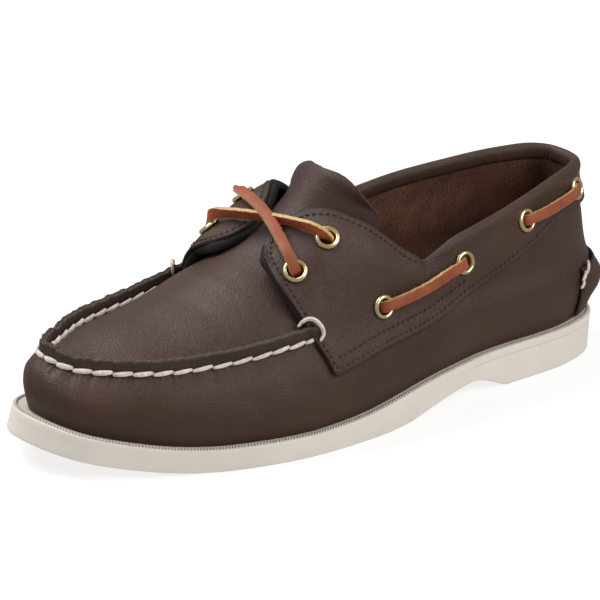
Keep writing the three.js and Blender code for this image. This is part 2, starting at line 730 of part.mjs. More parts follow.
// Lace: flat strips that lie across their eyelets
const spotOf = (name) => eyeletSpots.find((spot) => spot.name === name);
function strip(points, faceAt) {
  const line = { points, knots: [0] };
  for (let i = 1; i < points.length; i += 1) {
    line.knots.push(line.knots[i - 1] + points[i].distanceTo(points[i - 1]));
  }
  const steps = 12;
  return bar(Array.from({ length: steps + 1 }, (_, i) => {
    const share = i / steps;
    const here = follow(line, share);
    const along = follow(line, Math.min(share + 0.02, 1)).sub(follow(line, Math.max(share - 0.02, 0))).normalize();
    const face = faceAt(share).clone().addScaledVector(along, -faceAt(share).dot(along)).normalize();
    const wide = along.clone().cross(face);
    const corner = (a, b) => here.clone()
      .addScaledVector(wide, (a * LACE_WIDTH) / 2)
      .addScaledVector(face, (b * LACE_THICKNESS) / 2);
    return [corner(-1, -1), corner(1, -1), corner(1, 1), corner(-1, 1)];
  }));
}
const overEyelet = EYELET_SEAT + EYELET_LIP + FIT + LACE_THICKNESS / 2;
function crossing(from, to) {
  const start = spotOf(from);
  const end = spotOf(to);
  const above = (spot) => spot.point.clone().addScaledVector(spot.head, overEyelet);
  const leave = (spot, other) => {
    const towards = above(other).sub(above(spot));
    towards.addScaledVector(spot.head, -towards.dot(spot.head)).normalize();
    return above(spot).addScaledVector(towards, EYELET_WIDTH / 2).addScaledVector(spot.head, LACE_THICKNESS / 4);
  };
  const crest = above(start).lerp(above(end), 0.5).add(new THREE.Vector3(0, 0, LACE_ARCH));
  const points = [above(start), leave(start, end), crest, leave(end, start), above(end)];
  return strip(points, (share) => start.head.clone().lerp(end.head, share).normalize());
}
const laceCross = crossing("eyelet_throat_lateral_lower", "eyelet_throat_medial_upper")
  .add(crossing("eyelet_throat_medial_lower", "eyelet_throat_lateral_upper"));

function collarBar(side, from, to) {
  const first = COLLAR_EYELETS[from];
  const last = COLLAR_EYELETS[to];
  const spots = [0, 0.25, 0.5, 0.75, 1].map((share) => {
    const base = first.base + (last.base - first.base) * share;
    const rise = first.rise + (last.rise - first.rise) * share;
    return overlaySpot(side, base, rise * INSTEP_HEIGHT);
  });
  const lift = overEyelet + FIT;
  const points = spots.map((spot) => spot.point.clone().addScaledVector(spot.head, lift));
  return strip(points, (share) => {
    const k = Math.min(Math.floor(share * 4), 3);
    return spots[k].head.clone().lerp(spots[k + 1].head, share * 4 - k);
  });
}

// The named pieces
const shoe = new THREE.Group();
shoe.name = "boat_shoe_left";
const look = (color, roughness, metalness = 0) => ({ color, roughness, metalness });
const BROWN = look(0x46302a, 0.5);
const LOOKS = {
  rubber: look(0xd8d0c4, 0.7),
  leather: BROWN,
  trim: look(0x402a25, 0.55),
  suede: look(0x5a3226, 0.95),
  brass: look(0xd9bd77, 0.3, 1),
  lace: look(0xa85324, 0.6),
};
function addPiece(name, lookName, solid) {
  const { vertProperties, triVerts, numProp } = solid.getMesh();
  const geometry = new THREE.BufferGeometry();
  const corners = new Float32Array((vertProperties.length / numProp) * 3);
  for (let i = 0; i < corners.length / 3; i += 1) {
    for (let k = 0; k < 3; k += 1) corners[3 * i + k] = vertProperties[numProp * i + k];
  }
  geometry.setAttribute("position", new THREE.BufferAttribute(corners, 3));
  geometry.setIndex(new THREE.BufferAttribute(new Uint32Array(triVerts), 1));
  geometry.computeVertexNormals();
  const mesh = new THREE.Mesh(geometry, new THREE.MeshStandardMaterial(LOOKS[lookName]));
  mesh.name = name;
  shoe.add(mesh);
}
addPiece("outsole", "rubber", outsole);
addPiece("insole", "suede", insole);
addPiece("upper", "leather", upper);
addPiece("eyestay_and_band", "trim", pierced(overlays));
addPiece("tongue", "leather", tongue);
addPiece("collar_roll", "trim", roll);
addPiece("heel_lip", "trim", kicker);
eyeletSpots.forEach((spot) => addPiece(spot.name, "brass", seated(eyelet, spot)));
addPiece("lace_cross", "lace", laceCross);
addPiece("lace_lateral_front", "lace", collarBar(1, 0, 1));
addPiece("lace_lateral_rear", "lace", collarBar(1, 2, 3));
addPiece("lace_medial_front", "lace", collarBar(-1, 0, 1));
addPiece("lace_medial_rear", "lace", collarBar(-1, 2, 3));

// The origin lies on the floor below the middle of the shoe
const reach = new THREE.Box3().setFromObject(shoe);
const centre = reach.getCenter(new THREE.Vector3());
shoe.children.forEach((mesh) => mesh.geometry.translate(-centre.x, -centre.y, -reach.min.z));

export default shoe;
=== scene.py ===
# %% [markdown]
# # Left boat shoe
#
# A boat shoe is sewn like a moccasin. One piece of leather, the wall, comes up round the foot. A flat
# piece, the plug, closes the toe, and both edges are turned up and joined with a thick thread, so that
# they stand as a ridge. Two wings with brass eyelets lie over the instep, and a leather lace runs round
# the collar. The sole is one white rubber unit.
#
# The solids are already packed as a frame in metres. This script dresses them. Every surface is worked
# out from the same short tables that shaped the solids, in millimetres, only with many more points.

import bmesh
import bpy
import numpy as np
from mathutils import Matrix, Vector


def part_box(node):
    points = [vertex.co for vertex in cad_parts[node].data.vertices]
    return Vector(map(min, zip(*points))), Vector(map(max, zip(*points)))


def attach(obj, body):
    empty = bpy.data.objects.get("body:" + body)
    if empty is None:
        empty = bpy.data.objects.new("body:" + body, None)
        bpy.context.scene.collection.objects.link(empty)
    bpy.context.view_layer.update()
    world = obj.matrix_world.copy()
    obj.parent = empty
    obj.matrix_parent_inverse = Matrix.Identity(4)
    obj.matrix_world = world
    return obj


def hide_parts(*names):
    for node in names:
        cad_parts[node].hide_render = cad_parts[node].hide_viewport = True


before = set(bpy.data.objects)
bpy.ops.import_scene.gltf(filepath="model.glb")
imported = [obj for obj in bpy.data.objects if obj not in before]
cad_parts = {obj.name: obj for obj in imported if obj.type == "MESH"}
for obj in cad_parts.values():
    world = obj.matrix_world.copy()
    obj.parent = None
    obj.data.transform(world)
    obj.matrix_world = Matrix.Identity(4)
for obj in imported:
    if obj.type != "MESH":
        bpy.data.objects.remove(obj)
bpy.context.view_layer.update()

# %% [markdown]
# ## Sizes and tables
#
# A shoemaker writes down a few lengths and then works with shares of them. The tables below do the same.
# `base` is a place along the sole's edge, 0 at the toe and 1 at the heel, on either side. Heights are
# shares of the collar or instep height, and widths are shares of half the ball width.

# %% Sizes in millimetres
LENGTH, HALF = 300.0, 103.3 / 2
FORE_SOLE, HEEL_SOLE, TOE_SPRING, ARCH_LIFT = 10.3, 18.7, 12.4, 7.4
COLLAR_HEIGHT, INSTEP_HEIGHT, TWIST = 88.8, 106.0, 9.4
WALL, OVERLAY, FIT = 2.0, 1.6, 0.3
LEDGE, BELLY, BELLY_RISE, CHEEK = 6.6, 2.2, 11.0, 2.2
RIM_STEP, RIM_HEIGHT, SOLE_EDGE = 0.4, 3.2, 0.9
SEAM_END, RIDGE_END, NOTCH, ROLL_END, LIP_START = 0.4, 0.392, 0.569, 0.583, 0.925
LIP_STAND, LIP_TOP, LIP_FOOT = 5.6, 41.0, 3.0
print("sole", LENGTH, "mm long, ball", 2 * HALF, "mm wide, collar", COLLAR_HEIGHT, "mm high")


def columns(names, rows):
    """A table as one array for each named column."""
    return dict(zip(names.split(), np.array(rows, float).T))


# %% [markdown]
# The sole's tables are shares of its length and of half its width, so a change of size keeps the shape.
# One table goes once round the outline, and the others give heights and ledges on the way.

# %% Tables of the sole
OUTLINE = np.array([
    (0.0003, -0.0426), (0.0333, 0.4724), (0.1003, 0.668), (0.2683, 0.7667), (0.414, 0.9177),
    (0.5307, 1.0184), (0.6527, 1.0242), (0.7693, 0.8809), (0.8817, 0.6254), (0.9687, 0.3117),
    (1, -0.182), (0.9747, -0.4802), (0.8953, -0.7744), (0.7843, -0.9855), (0.6663, -0.9758),
    (0.5333, -0.8228), (0.4, -0.6776), (0.2497, -0.6776), (0.108, -0.6699), (0.025, -0.4356),
])
ARCH = columns("along lift", [(0.235, 0), (0.31, 1), (0.357, 0.82), (0.395, 0.55), (0.45, 0.1), (0.49, 0)])
WEDGE = columns("along heel", [(0.3, 1), (0.39, 0.84), (0.47, 0.5), (0.55, 0.16), (0.63, 0)])
LEDGES = columns("base share", [
    (0, 1), (0.1, 0.86), (0.2, 0.64), (0.35, 0.52), (0.8, 0.52), (0.93, 0.68), (1, 0.72),
])
print("rows of the sole's tables:", len(OUTLINE), len(ARCH["along"]), len(WEDGE["along"]), len(LEDGES["base"]))

# %% [markdown]
# The upper is told by lines that run from toe to heel. A row of a table belongs to one place on the
# sole's edge, called the base, and says where the line passes there, again in shares.

# %% Tables of the upper: the sewn seam, the middle of the wing and the top edge
SEAM = columns("base along out rise", [
    (0, 0.949, 0, 0.497), (0.028, 0.945, 0.126, 0.486), (0.07, 0.93, 0.252, 0.468),
    (0.119, 0.887, 0.451, 0.461), (0.185, 0.831, 0.645, 0.466), (0.289, 0.736, 0.784, 0.485),
    (0.35, 0.677, 0.844, 0.511), (0.393, 0.627, 0.877, 0.539), (0.427, 0.587, 0.875, 0.552),
    (0.465, 0.543, 0.86, 0.563), (0.519, 0.48, 0.825, 0.574), (0.572, 0.42, 0.786, 0.58),
    (0.688, 0.287, 0.707, 0.563), (0.774, 0.187, 0.639, 0.563), (0.84, 0.117, 0.571, 0.563),
    (0.91, 0.044, 0.385, 0.563), (0.955, 0.018, 0.21, 0.563), (1, 0.011, 0, 0.563),
])
MIDDLE = columns("base along out rise", [
    (0.4, 0.637, 0.591, 0.64), (0.411, 0.618, 0.571, 0.679), (0.427, 0.592, 0.571, 0.726),
    (0.445, 0.57, 0.581, 0.774), (0.465, 0.542, 0.61, 0.792), (0.491, 0.51, 0.678, 0.755),
    (0.519, 0.475, 0.728, 0.679), (0.545, 0.447, 0.749, 0.623), (0.572, 0.418, 0.755, 0.59),
    (0.601, 0.387, 0.742, 0.575), (0.688, 0.287, 0.697, 0.594), (0.774, 0.187, 0.604, 0.613),
    (0.84, 0.115, 0.503, 0.623), (0.91, 0.051, 0.345, 0.623), (0.955, 0.027, 0.19, 0.623),
    (1, 0.0185, 0, 0.623),
])
TOP = columns("base along out rise", [
    (0.4, 0.637, 0.339, 0.717), (0.411, 0.619, 0.213, 0.755), (0.427, 0.59, 0.174, 0.798),
    (0.445, 0.562, 0.232, 0.858), (0.465, 0.54, 0.364, 0.882), (0.491, 0.508, 0.507, 0.845),
    (0.519, 0.468, 0.596, 0.768), (0.545, 0.443, 0.654, 0.709), (0.569, 0.419, 0.693, 0.666),
    (0.58, 0.407, 0.697, 0.634), (0.601, 0.387, 0.697, 0.644), (0.688, 0.287, 0.651, 0.697),
    (0.774, 0.187, 0.53, 0.739), (0.84, 0.115, 0.408, 0.767), (0.91, 0.058, 0.278, 0.779),
    (0.955, 0.039, 0.158, 0.779), (1, 0.032, 0, 0.776),
])
BAND = columns("base rise", [
    (0.4, 0.545), (0.41, 0.46), (0.419, 0.387), (0.459, 0.414), (0.496, 0.445), (0.589, 0.488),
    (0.676, 0.583), (0.766, 0.691), (0.849, 0.779), (0.91, 0.788), (1, 0.783),
])
print("rows of the upper's tables:", *(len(table["base"]) for table in (SEAM, MIDDLE, TOP, BAND)))

# %% [markdown]
# The plug and the tongue follow a middle line. Their tables say how high it runs, and how far out and
# how high their two edges lie.

# %% Tables of the plug and tongue
APRON = columns("base along rise", [
    (0.028, 0.9452, 0.4085), (0.07, 0.935, 0.414), (0.119, 0.9, 0.427), (0.185, 0.85, 0.462),
    (0.235, 0.803, 0.489), (0.289, 0.76, 0.521), (0.35, 0.708, 0.573), (0.4, 0.66, 0.628),
])
TONGUE_LINE = columns("step along rise edge out side", [
    (0, 0.6575, 0.631, 0.624, 0.725, 0.493), (0.2, 0.625, 0.677, 0.585, 0.685, 0.538),
    (0.38, 0.594, 0.735, 0.545, 0.65, 0.585), (0.55, 0.564, 0.802, 0.505, 0.58, 0.65),
    (0.7, 0.54, 0.868, 0.460, 0.47, 0.752), (0.83, 0.522, 0.926, 0.458, 0.43, 0.838),
    (0.91, 0.512, 0.96, 0.470, 0.40, 0.893), (0.96, 0.506, 0.98, 0.482, 0.345, 0.935),
    (0.985, 0.503, 0.988, 0.491, 0.22, 0.972), (1, 0.502, 0.990, 0.499, 0.10, 0.986),
])
TONGUE_SWING = columns("step forward", [(0, 0), (0.35, 0), (0.62, 9), (0.84, 10), (0.93, 5), (1, 0)])
print("rows of the plug and tongue:", len(APRON["base"]), len(TONGUE_LINE["step"]))

# %% [markdown]
# ## Smooth curves from short tables
#
# A table gives a few places and the leather has to run smoothly through them. `read` joins two rows
# with a cubic whose end slopes never overshoot, which keeps a flat stretch flat. The sole's outline is
# a closed curve through its points, cut into equal steps and split at the toe and the heel.

# %% Reading tables and the outline
def read(table, column, at, key="base"):
    """A column at any place: a cubic between rows, its slope the harmonic mean of its neighbours'."""
    x, y = table[key], table[column]
    chord = np.diff(y) / np.diff(x)
    both = chord[:-1] * chord[1:]
    inner = np.where(both > 0, 2 * both / np.where(both > 0, chord[:-1] + chord[1:], 1), 0)
    lean = np.concatenate([chord[:1], inner, chord[-1:]])
    at = np.clip(at, x[0], x[-1])
    i = np.clip(np.searchsorted(x, at, side="right") - 1, 0, len(x) - 2)
    run = x[i + 1] - x[i]
    t = (at - x[i]) / run
    rise = t * t * (3 - 2 * t)
    slopes = lean[i] * t * (1 - t) ** 2 - lean[i + 1] * t * t * (1 - t)
    return y[i] * (1 - rise) + y[i + 1] * rise + run * slopes


def arc(line):
    """Distance travelled along a line of points."""
    steps = np.linalg.norm(np.diff(line, axis=0), axis=1)
    return np.concatenate([[0], np.cumsum(steps)])


def closed_curve(points, count):
    """Closed curve through points: a cubic on each span, knots apart by the root of the distance."""
    p = [np.roll(points, k, axis=0) for k in (1, 0, -1, -2)]
    gap = [np.linalg.norm(p[k + 1] - p[k], axis=1)[:, None] ** 0.5 for k in range(3)]
    lean = [
        ((p[k + 1] - p[k]) / gap[k] - (p[k + 2] - p[k]) / (gap[k] + gap[k + 1])
         + (p[k + 2] - p[k + 1]) / gap[k + 1]) * gap[1]
        for k in (0, 1)
    ]
    t = (np.arange(200) / 200)[None, :, None]
    first, second, run = lean[0][:, None], lean[1][:, None], (p[2] - p[1])[:, None]
    bend, twist = 3 * run - 2 * first - second, first + second - 2 * run
    dense = p[1][:, None] + t * first + t**2 * bend + t**3 * twist
    ring = np.vstack([dense.reshape(-1, 2), dense[0, :1]])
    far = arc(ring)
    at = np.arange(count) / count * far[-1]
    return np.stack([np.interp(at, far, ring[:, k]) for k in range(2)], 1)


loop = closed_curve(OUTLINE * (LENGTH, HALF), 2880)
print("outline of the sole:", round(float(arc(loop)[-1])), "mm round")


# %% [markdown]
# The outline is cut at the toe and at the heel. A place on either side is found by its share of that
# side's length, so one table serves both sides although their outlines differ.

# %% The two sides of the outline
def edge_of(side):
    """One side from toe to heel, with the outward direction square to it."""
    heel, toe = loop[:, 0].argmin(), loop[:, 0].argmax()
    count = ((heel - toe) * -side) % len(loop) + 1
    i = (toe - side * np.arange(count)) % len(loop)
    along = loop[i - 4] - loop[(i + 4) % len(loop)]
    along /= np.linalg.norm(along, axis=1)[:, None]
    return {
        "share": np.arange(count) / (count - 1),
        "far": (loop[toe, 0] - loop[i, 0]) / (loop[toe, 0] - loop[heel, 0]),
        "along": loop[i, 0],
        "out": loop[i, 1],
        "head_along": along[:, 1],
        "head_out": -along[:, 0],
    }


EDGES = {1: edge_of(1), -1: edge_of(-1)}
print("points on the outer and inner side:", len(EDGES[1]["share"]), len(EDGES[-1]["share"]))


def edge_at(side, at, key="share"):
    """The outline's place and heading at a share of its length, or of its distance from the toe."""
    edge = EDGES[side]
    return {k: np.interp(at, edge[key], edge[k]) for k in ("along", "out", "head_along", "head_out")}


# %% Heights of the sole and the middle line
SPRING_START = 0.75 * LENGTH


def place(along, out, rise):
    """A point from its distance along the shoe from the heel, its distance out and its height."""
    return np.stack(np.broadcast_arrays(out, LENGTH / 2 - along, rise), -1)


def spring(along):
    """The toe lifts with the square of the distance in front of the spring's start."""
    return TOE_SPRING * (np.maximum(0, along - SPRING_START) / (LENGTH - SPRING_START)) ** 2


def spring_slope(along):
    """Slope of the toe spring."""
    return 2 * TOE_SPRING * np.maximum(0, along - SPRING_START) / (LENGTH - SPRING_START) ** 2


def arch(along):
    """Lift of the waist between the heel block and the ball."""
    return ARCH_LIFT * read(ARCH, "lift", along / LENGTH, "along")


def thickness(along):
    """Thickness of the sole, growing from the ball to the heel."""
    return FORE_SOLE + (HEEL_SOLE - FORE_SOLE) * read(WEDGE, "heel", along / LENGTH, "along")


def sole_point(edge, inset, height):
    """A point moved in from the outline, up by a height, and leaned with the toe spring."""
    along = edge["along"] - edge["head_along"] * inset
    out = edge["out"] - edge["head_out"] * inset
    rise = height(along)
    tilt = np.minimum(rise, thickness(along))
    return place(along - tilt * spring_slope(along), out, spring(along) + rise)


def smooth_step(x):
    """0 below 0, 1 above 1, and a cubic between."""
    x = np.clip(x, 0, 1)
    return x * x * (3 - 2 * x)


def middle(along):
    """The middle line swings to the inner side in front of the waist."""
    return -TWIST * np.maximum(0, (along / LENGTH - 0.5) / 0.45)


def level(table, height, side, base):
    """A point of a level curve of the upper."""
    along = read(table, "along", base) * LENGTH
    out = middle(along) + side * read(table, "out", base) * HALF
    return place(along, out, read(table, "rise", base) * height)


print("the sole is", float(thickness(0.0)), "mm thick at the heel")

# %% [markdown]
# ## Ribs of the upper
#
# The upper is drawn as ribs, like a boat. Each rib starts where the wall meets the sole, bellies out,
# and runs through the seam. Behind the seam's end it goes on over the instep to the top edge.

# %% Ribs
def rib(side, base):
    """Ribs as points (ribs, places, 3) and knots spaced by the root of the distance."""
    edge = edge_at(side, base)
    ledge = LEDGE * read(LEDGES, "share", base)
    foot = sole_point(edge, ledge, lambda along: thickness(along) + FIT)
    belly = sole_point(edge, ledge - BELLY, lambda along: thickness(along) + BELLY_RISE)
    seam = level(SEAM, COLLAR_HEIGHT, side, base)
    outward = np.stack([edge["head_out"], -edge["head_along"], 0 * base], -1)
    cheek = belly + (seam - belly) * 0.55 + CHEEK * outward
    lines = [foot, belly, cheek, seam]
    if base.min() >= SEAM_END:
        lines += [level(MIDDLE, INSTEP_HEIGHT, side, base), level(TOP, INSTEP_HEIGHT, side, base)]
    points = np.stack(lines, 1)
    gaps = np.sqrt(np.linalg.norm(np.diff(points, axis=1), axis=2))
    return points, np.concatenate([np.zeros((len(base), 1)), np.cumsum(gaps, 1)], 1)


def follow(line, share):
    """Points at shares of the knots: a cubic on each span, leaning on both neighbours."""
    points, knots = line
    count, places = knots.shape
    share = np.broadcast_to(share, (count, np.shape(share)[-1]))
    at = share * knots[:, -1:]
    i = np.clip((at[:, :, None] >= knots[:, None, :]).sum(-1) - 1, 0, places - 2)
    row = np.arange(count)[:, None]
    run = np.diff(knots, axis=1)
    chord = np.diff(points, axis=1) / run[..., None]
    both = (chord[:, :-1] * run[:, 1:, None] + chord[:, 1:] * run[:, :-1, None])
    inner = both / (run[:, 1:] + run[:, :-1])[..., None]
    lean = np.concatenate([chord[:, :1], inner, chord[:, -1:]], 1)
    t = ((at - knots[row, i]) / run[row, i])[..., None]
    rise = t * t * (3 - 2 * t)
    slopes = lean[row, i] * t * (1 - t) ** 2 - lean[row, i + 1] * t * t * (1 - t)
    return points[row, i] * (1 - rise) + points[row, i + 1] * rise + run[row, i][..., None] * slopes


def share_at(line, rise):
    """Where each rib reaches a height, found by halving."""
    low, high = np.zeros(len(line[1])), np.ones(len(line[1]))
    for _ in range(30):
        half = (low + high) / 2
        under = follow(line, half[:, None])[:, 0, 2] < rise
        low, high = np.where(under, half, low), np.where(under, high, half)
    return (low + high) / 2


# %% [markdown]
# ## From grids to pieces
#
# Leather is a sheet, so most pieces are a grid of points with a thickness. The free edges of cut leather
# are slightly round, and light catches them, so each sheet gets three more lines of points past its edge
# that close it like a half circle. The grid also leaves the mesh two facts for the materials: the
# distance along it in millimetres, as its UV map, and how near each point is to a free edge.

# %% Placing a mesh in the frame
low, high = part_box("outsole")
reach = [loop[:, 1].min() - RIM_STEP, loop[:, 1].max() + RIM_STEP]
tips = np.concatenate([
    sole_point(edge_at(1, np.array([0.0, 1.0])), inset, lambda along, h=h: arch(along) + h)[:, 1]
    for inset, h in ((SOLE_EDGE, 0.0), (0.0, SOLE_EDGE), (-RIM_STEP, HEEL_SOLE - RIM_STEP))
])
middle_of_tables = np.array([sum(reach) / 2, (tips.min() + tips.max()) / 2, 0])
SHIFT = middle_of_tables - 500 * np.array([low.x + high.x, low.y + high.y, 0])
print("the tables' middle lies at", SHIFT.round(2), "mm in the frame")


def piece(name, points, faces, material, slot, stands_for=(), uv=None, layers=None, crease=50):
    """Puts points in millimetres and faces into a mesh that rides on the shoe. Points at one place are
    joined, and an edge is sharp where its faces meet at more than the crease angle."""
    mesh = bpy.data.meshes.new(name)
    mesh.from_pydata(((points - SHIFT) / 1000).tolist(), [], np.asarray(faces).tolist())
    corner = np.empty(len(mesh.loops), np.int32)
    mesh.loops.foreach_get("vertex_index", corner)
    if uv is not None:
        mesh.uv_layers.new(name="UVMap").uv.foreach_set("vector", uv[corner].astype(np.float32).ravel())
    for key, values in (layers or {}).items():
        mesh.attributes.new(key, "FLOAT", "POINT").data.foreach_set("value", values.astype(np.float32))
    work = bmesh.new()
    work.from_mesh(mesh)
    bmesh.ops.remove_doubles(work, verts=work.verts, dist=2e-6)
    bmesh.ops.dissolve_degenerate(work, edges=work.edges, dist=1e-7)
    work.to_mesh(mesh)
    work.free()
    mesh.shade_smooth()
    mesh.set_sharp_from_angle(angle=np.radians(crease))
    mesh.materials.append(material)
    made = bpy.data.objects.new(name, mesh)
    bpy.context.collection.objects.link(made)
    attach(made, "root")
    if stands_for:
        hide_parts(*stands_for)
    print(f"{name}: {len(mesh.polygons)} faces")
    return made


# %% [markdown]
# Leather parts are grids of points. The next functions join neighbours into faces, find the direction
# outwards at each point, soften a grid, and turn it into a sheet with a rounded rim.

# %% Grids, outward directions and rounded sheets
def quads(rows, cols, wrap_rows=False, wrap_cols=False):
    """Corner numbers of the cells of a grid, wrapped round where it closes."""
    i, j = np.meshgrid(np.arange(rows - (not wrap_rows)), np.arange(cols - (not wrap_cols)), indexing="ij")
    i, j = i.ravel(), j.ravel()
    return np.stack([((i + a) % rows) * cols + (j + b) % cols for a, b in ((0, 0), (1, 0), (1, 1), (0, 1))], 1)


def unit(v):
    """The direction of vectors."""
    return v / np.maximum(np.linalg.norm(v, axis=-1, keepdims=True), 1e-9)


def headings(grid, closed=False):
    """Outward directions: the cross product of the steps round and up."""
    if closed:
        turn = np.roll(grid, -1, 0) - np.roll(grid, 1, 0)
    else:
        turn = np.gradient(grid, axis=0)
    return unit(np.cross(turn, np.gradient(grid, axis=1)))


def soften(grid, width, closed=False):
    """A grid averaged along its first direction with a bell of that many columns."""
    reach = int(3 * width)
    bell = np.exp(-0.5 * (np.arange(-reach, reach + 1) / width) ** 2)
    ends = {"mode": "wrap"} if closed else {"mode": "reflect", "reflect_type": "odd"}
    longer = np.pad(grid, [(reach, reach)] + [(0, 0)] * (grid.ndim - 1), **ends)
    return sum(b * longer[k:k + len(grid)] for k, b in enumerate(bell / bell.sum()))


def travelled(grid, axis):
    """Distance travelled over a grid in one direction: the sum of the steps so far."""
    steps = np.cumsum(np.linalg.norm(np.diff(grid, axis=axis), axis=2), axis)
    return np.concatenate([np.zeros_like(steps.take([0], axis)), steps], axis)


def capped(tube):
    """A tube with its first and last ring once more, drawn together in their middles, to close it."""
    first, final = (ring.mean(1, keepdims=True).repeat(tube.shape[1], 1) for ring in (tube[:1], tube[-1:]))
    return np.concatenate([first, tube, final])


def along_and_round(tube, section):
    """The UV map of a tube: millimetres along it and millimetres round its section."""
    return np.stack(np.broadcast_arrays(arc(tube[:, 0])[:, None], arc(section)[None]), -1).reshape(-1, 2)


def thick(grid, inner, outer, closed=False, rim=0.8):
    """A sheet between two distances from a grid. Past each free edge go three lines, on by rim times
    the sine of 30, 60 and 90 degrees, with the thickness times the cosine, so that the edge is round."""
    angle = np.radians([90, 60, 30])
    full = np.ones(grid.shape[:2])
    inner, outer = (np.array(np.broadcast_to(x, full.shape), float) for x in (inner, outer))
    for axis in (1,) if closed else (0, 1):
        lines = np.moveaxis(grid, axis, 0)
        share = np.moveaxis(full, axis, 0)
        first = lines[0] + rim * np.sin(angle)[:, None, None] * unit(lines[0] - lines[1])
        final = lines[-1] + rim * np.sin(angle[::-1])[:, None, None] * unit(lines[-1] - lines[-2])
        grid = np.moveaxis(np.concatenate([first, lines, final]), 0, axis)
        tapers = np.cos(angle)[:, None]
        full = np.moveaxis(np.concatenate([tapers * share[0], share, tapers[::-1] * share[-1]]), 0, axis)
        pads = [(3, 3) if a == axis else (0, 0) for a in (0, 1)]
        inner, outer = np.pad(inner, pads, mode="edge"), np.pad(outer, pads, mode="edge")
    heads = headings(grid, closed)
    centre, half = (inner + outer) / 2, (outer - inner) / 2 * full
    layers = [grid + heads * (centre + k * half)[..., None] for k in (1, -1)]
    rows, cols = grid.shape[:2]
    faces = quads(rows, cols, closed)
    round_it, up = travelled(grid, 0), travelled(grid, 1)
    near = np.minimum(up, up[:, -1:] - up)
    if not closed:
        near = np.minimum(near, np.minimum(round_it, round_it[-1:] - round_it))
    middle_line = round_it[:, cols // 2:cols // 2 + 1]
    uv = np.stack([np.broadcast_to(middle_line, up.shape), up], -1).reshape(-1, 2)
    return {
        "points": np.concatenate([layer.reshape(-1, 3) for layer in layers]),
        "faces": np.concatenate([faces, faces[:, ::-1] + rows * cols]),
        "uv": np.concatenate([uv, uv]),
        # How near a point is to a free edge; the leathers use it to paint shade along the edges.
        "layers": {"edge": np.tile(np.exp(-near.ravel() / 1.2), 2)},
    }


# %% [markdown]
# ## Materials
#
# Smooth oiled leather is dark brown with a fine grain, a slow drift between two browns and a broad dull
# shine. The nodes make the grain from small cells and a finer noise, as bump, and paint shade along the
# cut edges, and a highlight on the ridge's cut top, from the attribute that each sheet carries. Everything
# reads Object coordinates, so the pattern sits still on the shoe.

# %% Helper for node materials
def surface(name, roughness, **sockets):
    """A material with its shader's own sockets set, and its nodes and links to add to."""
    material = bpy.data.materials.new(name)
    material.use_nodes = True
    nodes, links = material.node_tree.nodes, material.node_tree.links
    shader = nodes["Principled BSDF"]
    shader.inputs["Roughness"].default_value = roughness
    for key, value in sockets.items():
        shader.inputs[key.replace("_", " ")].default_value = value
    return material, nodes, links, shader


def noise(nodes, links, scale, detail):
    """A noise texture on object coordinates."""
    where, texture = nodes.new("ShaderNodeTexCoord"), nodes.new("ShaderNodeTexNoise")
    texture.inputs["Scale"].default_value = scale
    texture.inputs["Detail"].default_value = detail
    texture.inputs["Roughness"].default_value = 0.55
    links.new(where.outputs["Object"], texture.inputs["Vector"])
    return texture.outputs["Fac"]


def ramp(nodes, links, value, stops):
    """A colour ramp through stops of place and colour."""
    node = nodes.new("ShaderNodeValToRGB")
    for k, (at, color) in enumerate(stops):
        stop = node.color_ramp.elements[k] if k < 2 else node.color_ramp.elements.new(at)
        stop.position, stop.color = at, (*color, 1) if len(color) == 3 else color
    links.new(value, node.inputs["Fac"])
    return node.outputs["Color"]


def sum_of(nodes, links, *terms):
    """The sum of outputs, each times a number."""
    total = None
    for output, weight in terms:
        node = nodes.new("ShaderNodeMath")
        node.operation = "MULTIPLY_ADD"
        links.new(output, node.inputs[0])
        node.inputs[1].default_value = weight
        if total is None:
            node.inputs[2].default_value = 0
        else:
            links.new(total, node.inputs[2])
        total = node.outputs[0]
    return total


def bump(nodes, links, shader, height, distance):
    """Bump: the height times a distance in millimetres."""
    node = nodes.new("ShaderNodeBump")
    node.inputs["Strength"].default_value = 1.0
    node.inputs["Distance"].default_value = distance / 1000
    links.new(height, node.inputs["Height"])
    links.new(node.outputs["Normal"], shader.inputs["Normal"])


def attribute(nodes, name):
    """A value that the mesh carries."""
    node = nodes.new("ShaderNodeAttribute")
    node.attribute_name = name
    return node.outputs["Fac"]


def blend(nodes, links, share, first, second):
    """Two colours mixed by a share."""
    node = nodes.new("ShaderNodeMix")
    node.data_type = "RGBA"
    links.new(share, node.inputs["Factor"])
    for value, socket in ((first, node.inputs[6]), (second, node.inputs[7])):
        if isinstance(value, tuple):
            socket.default_value = (*value, 1)
        else:
            links.new(value, socket)
    return node.outputs[2]
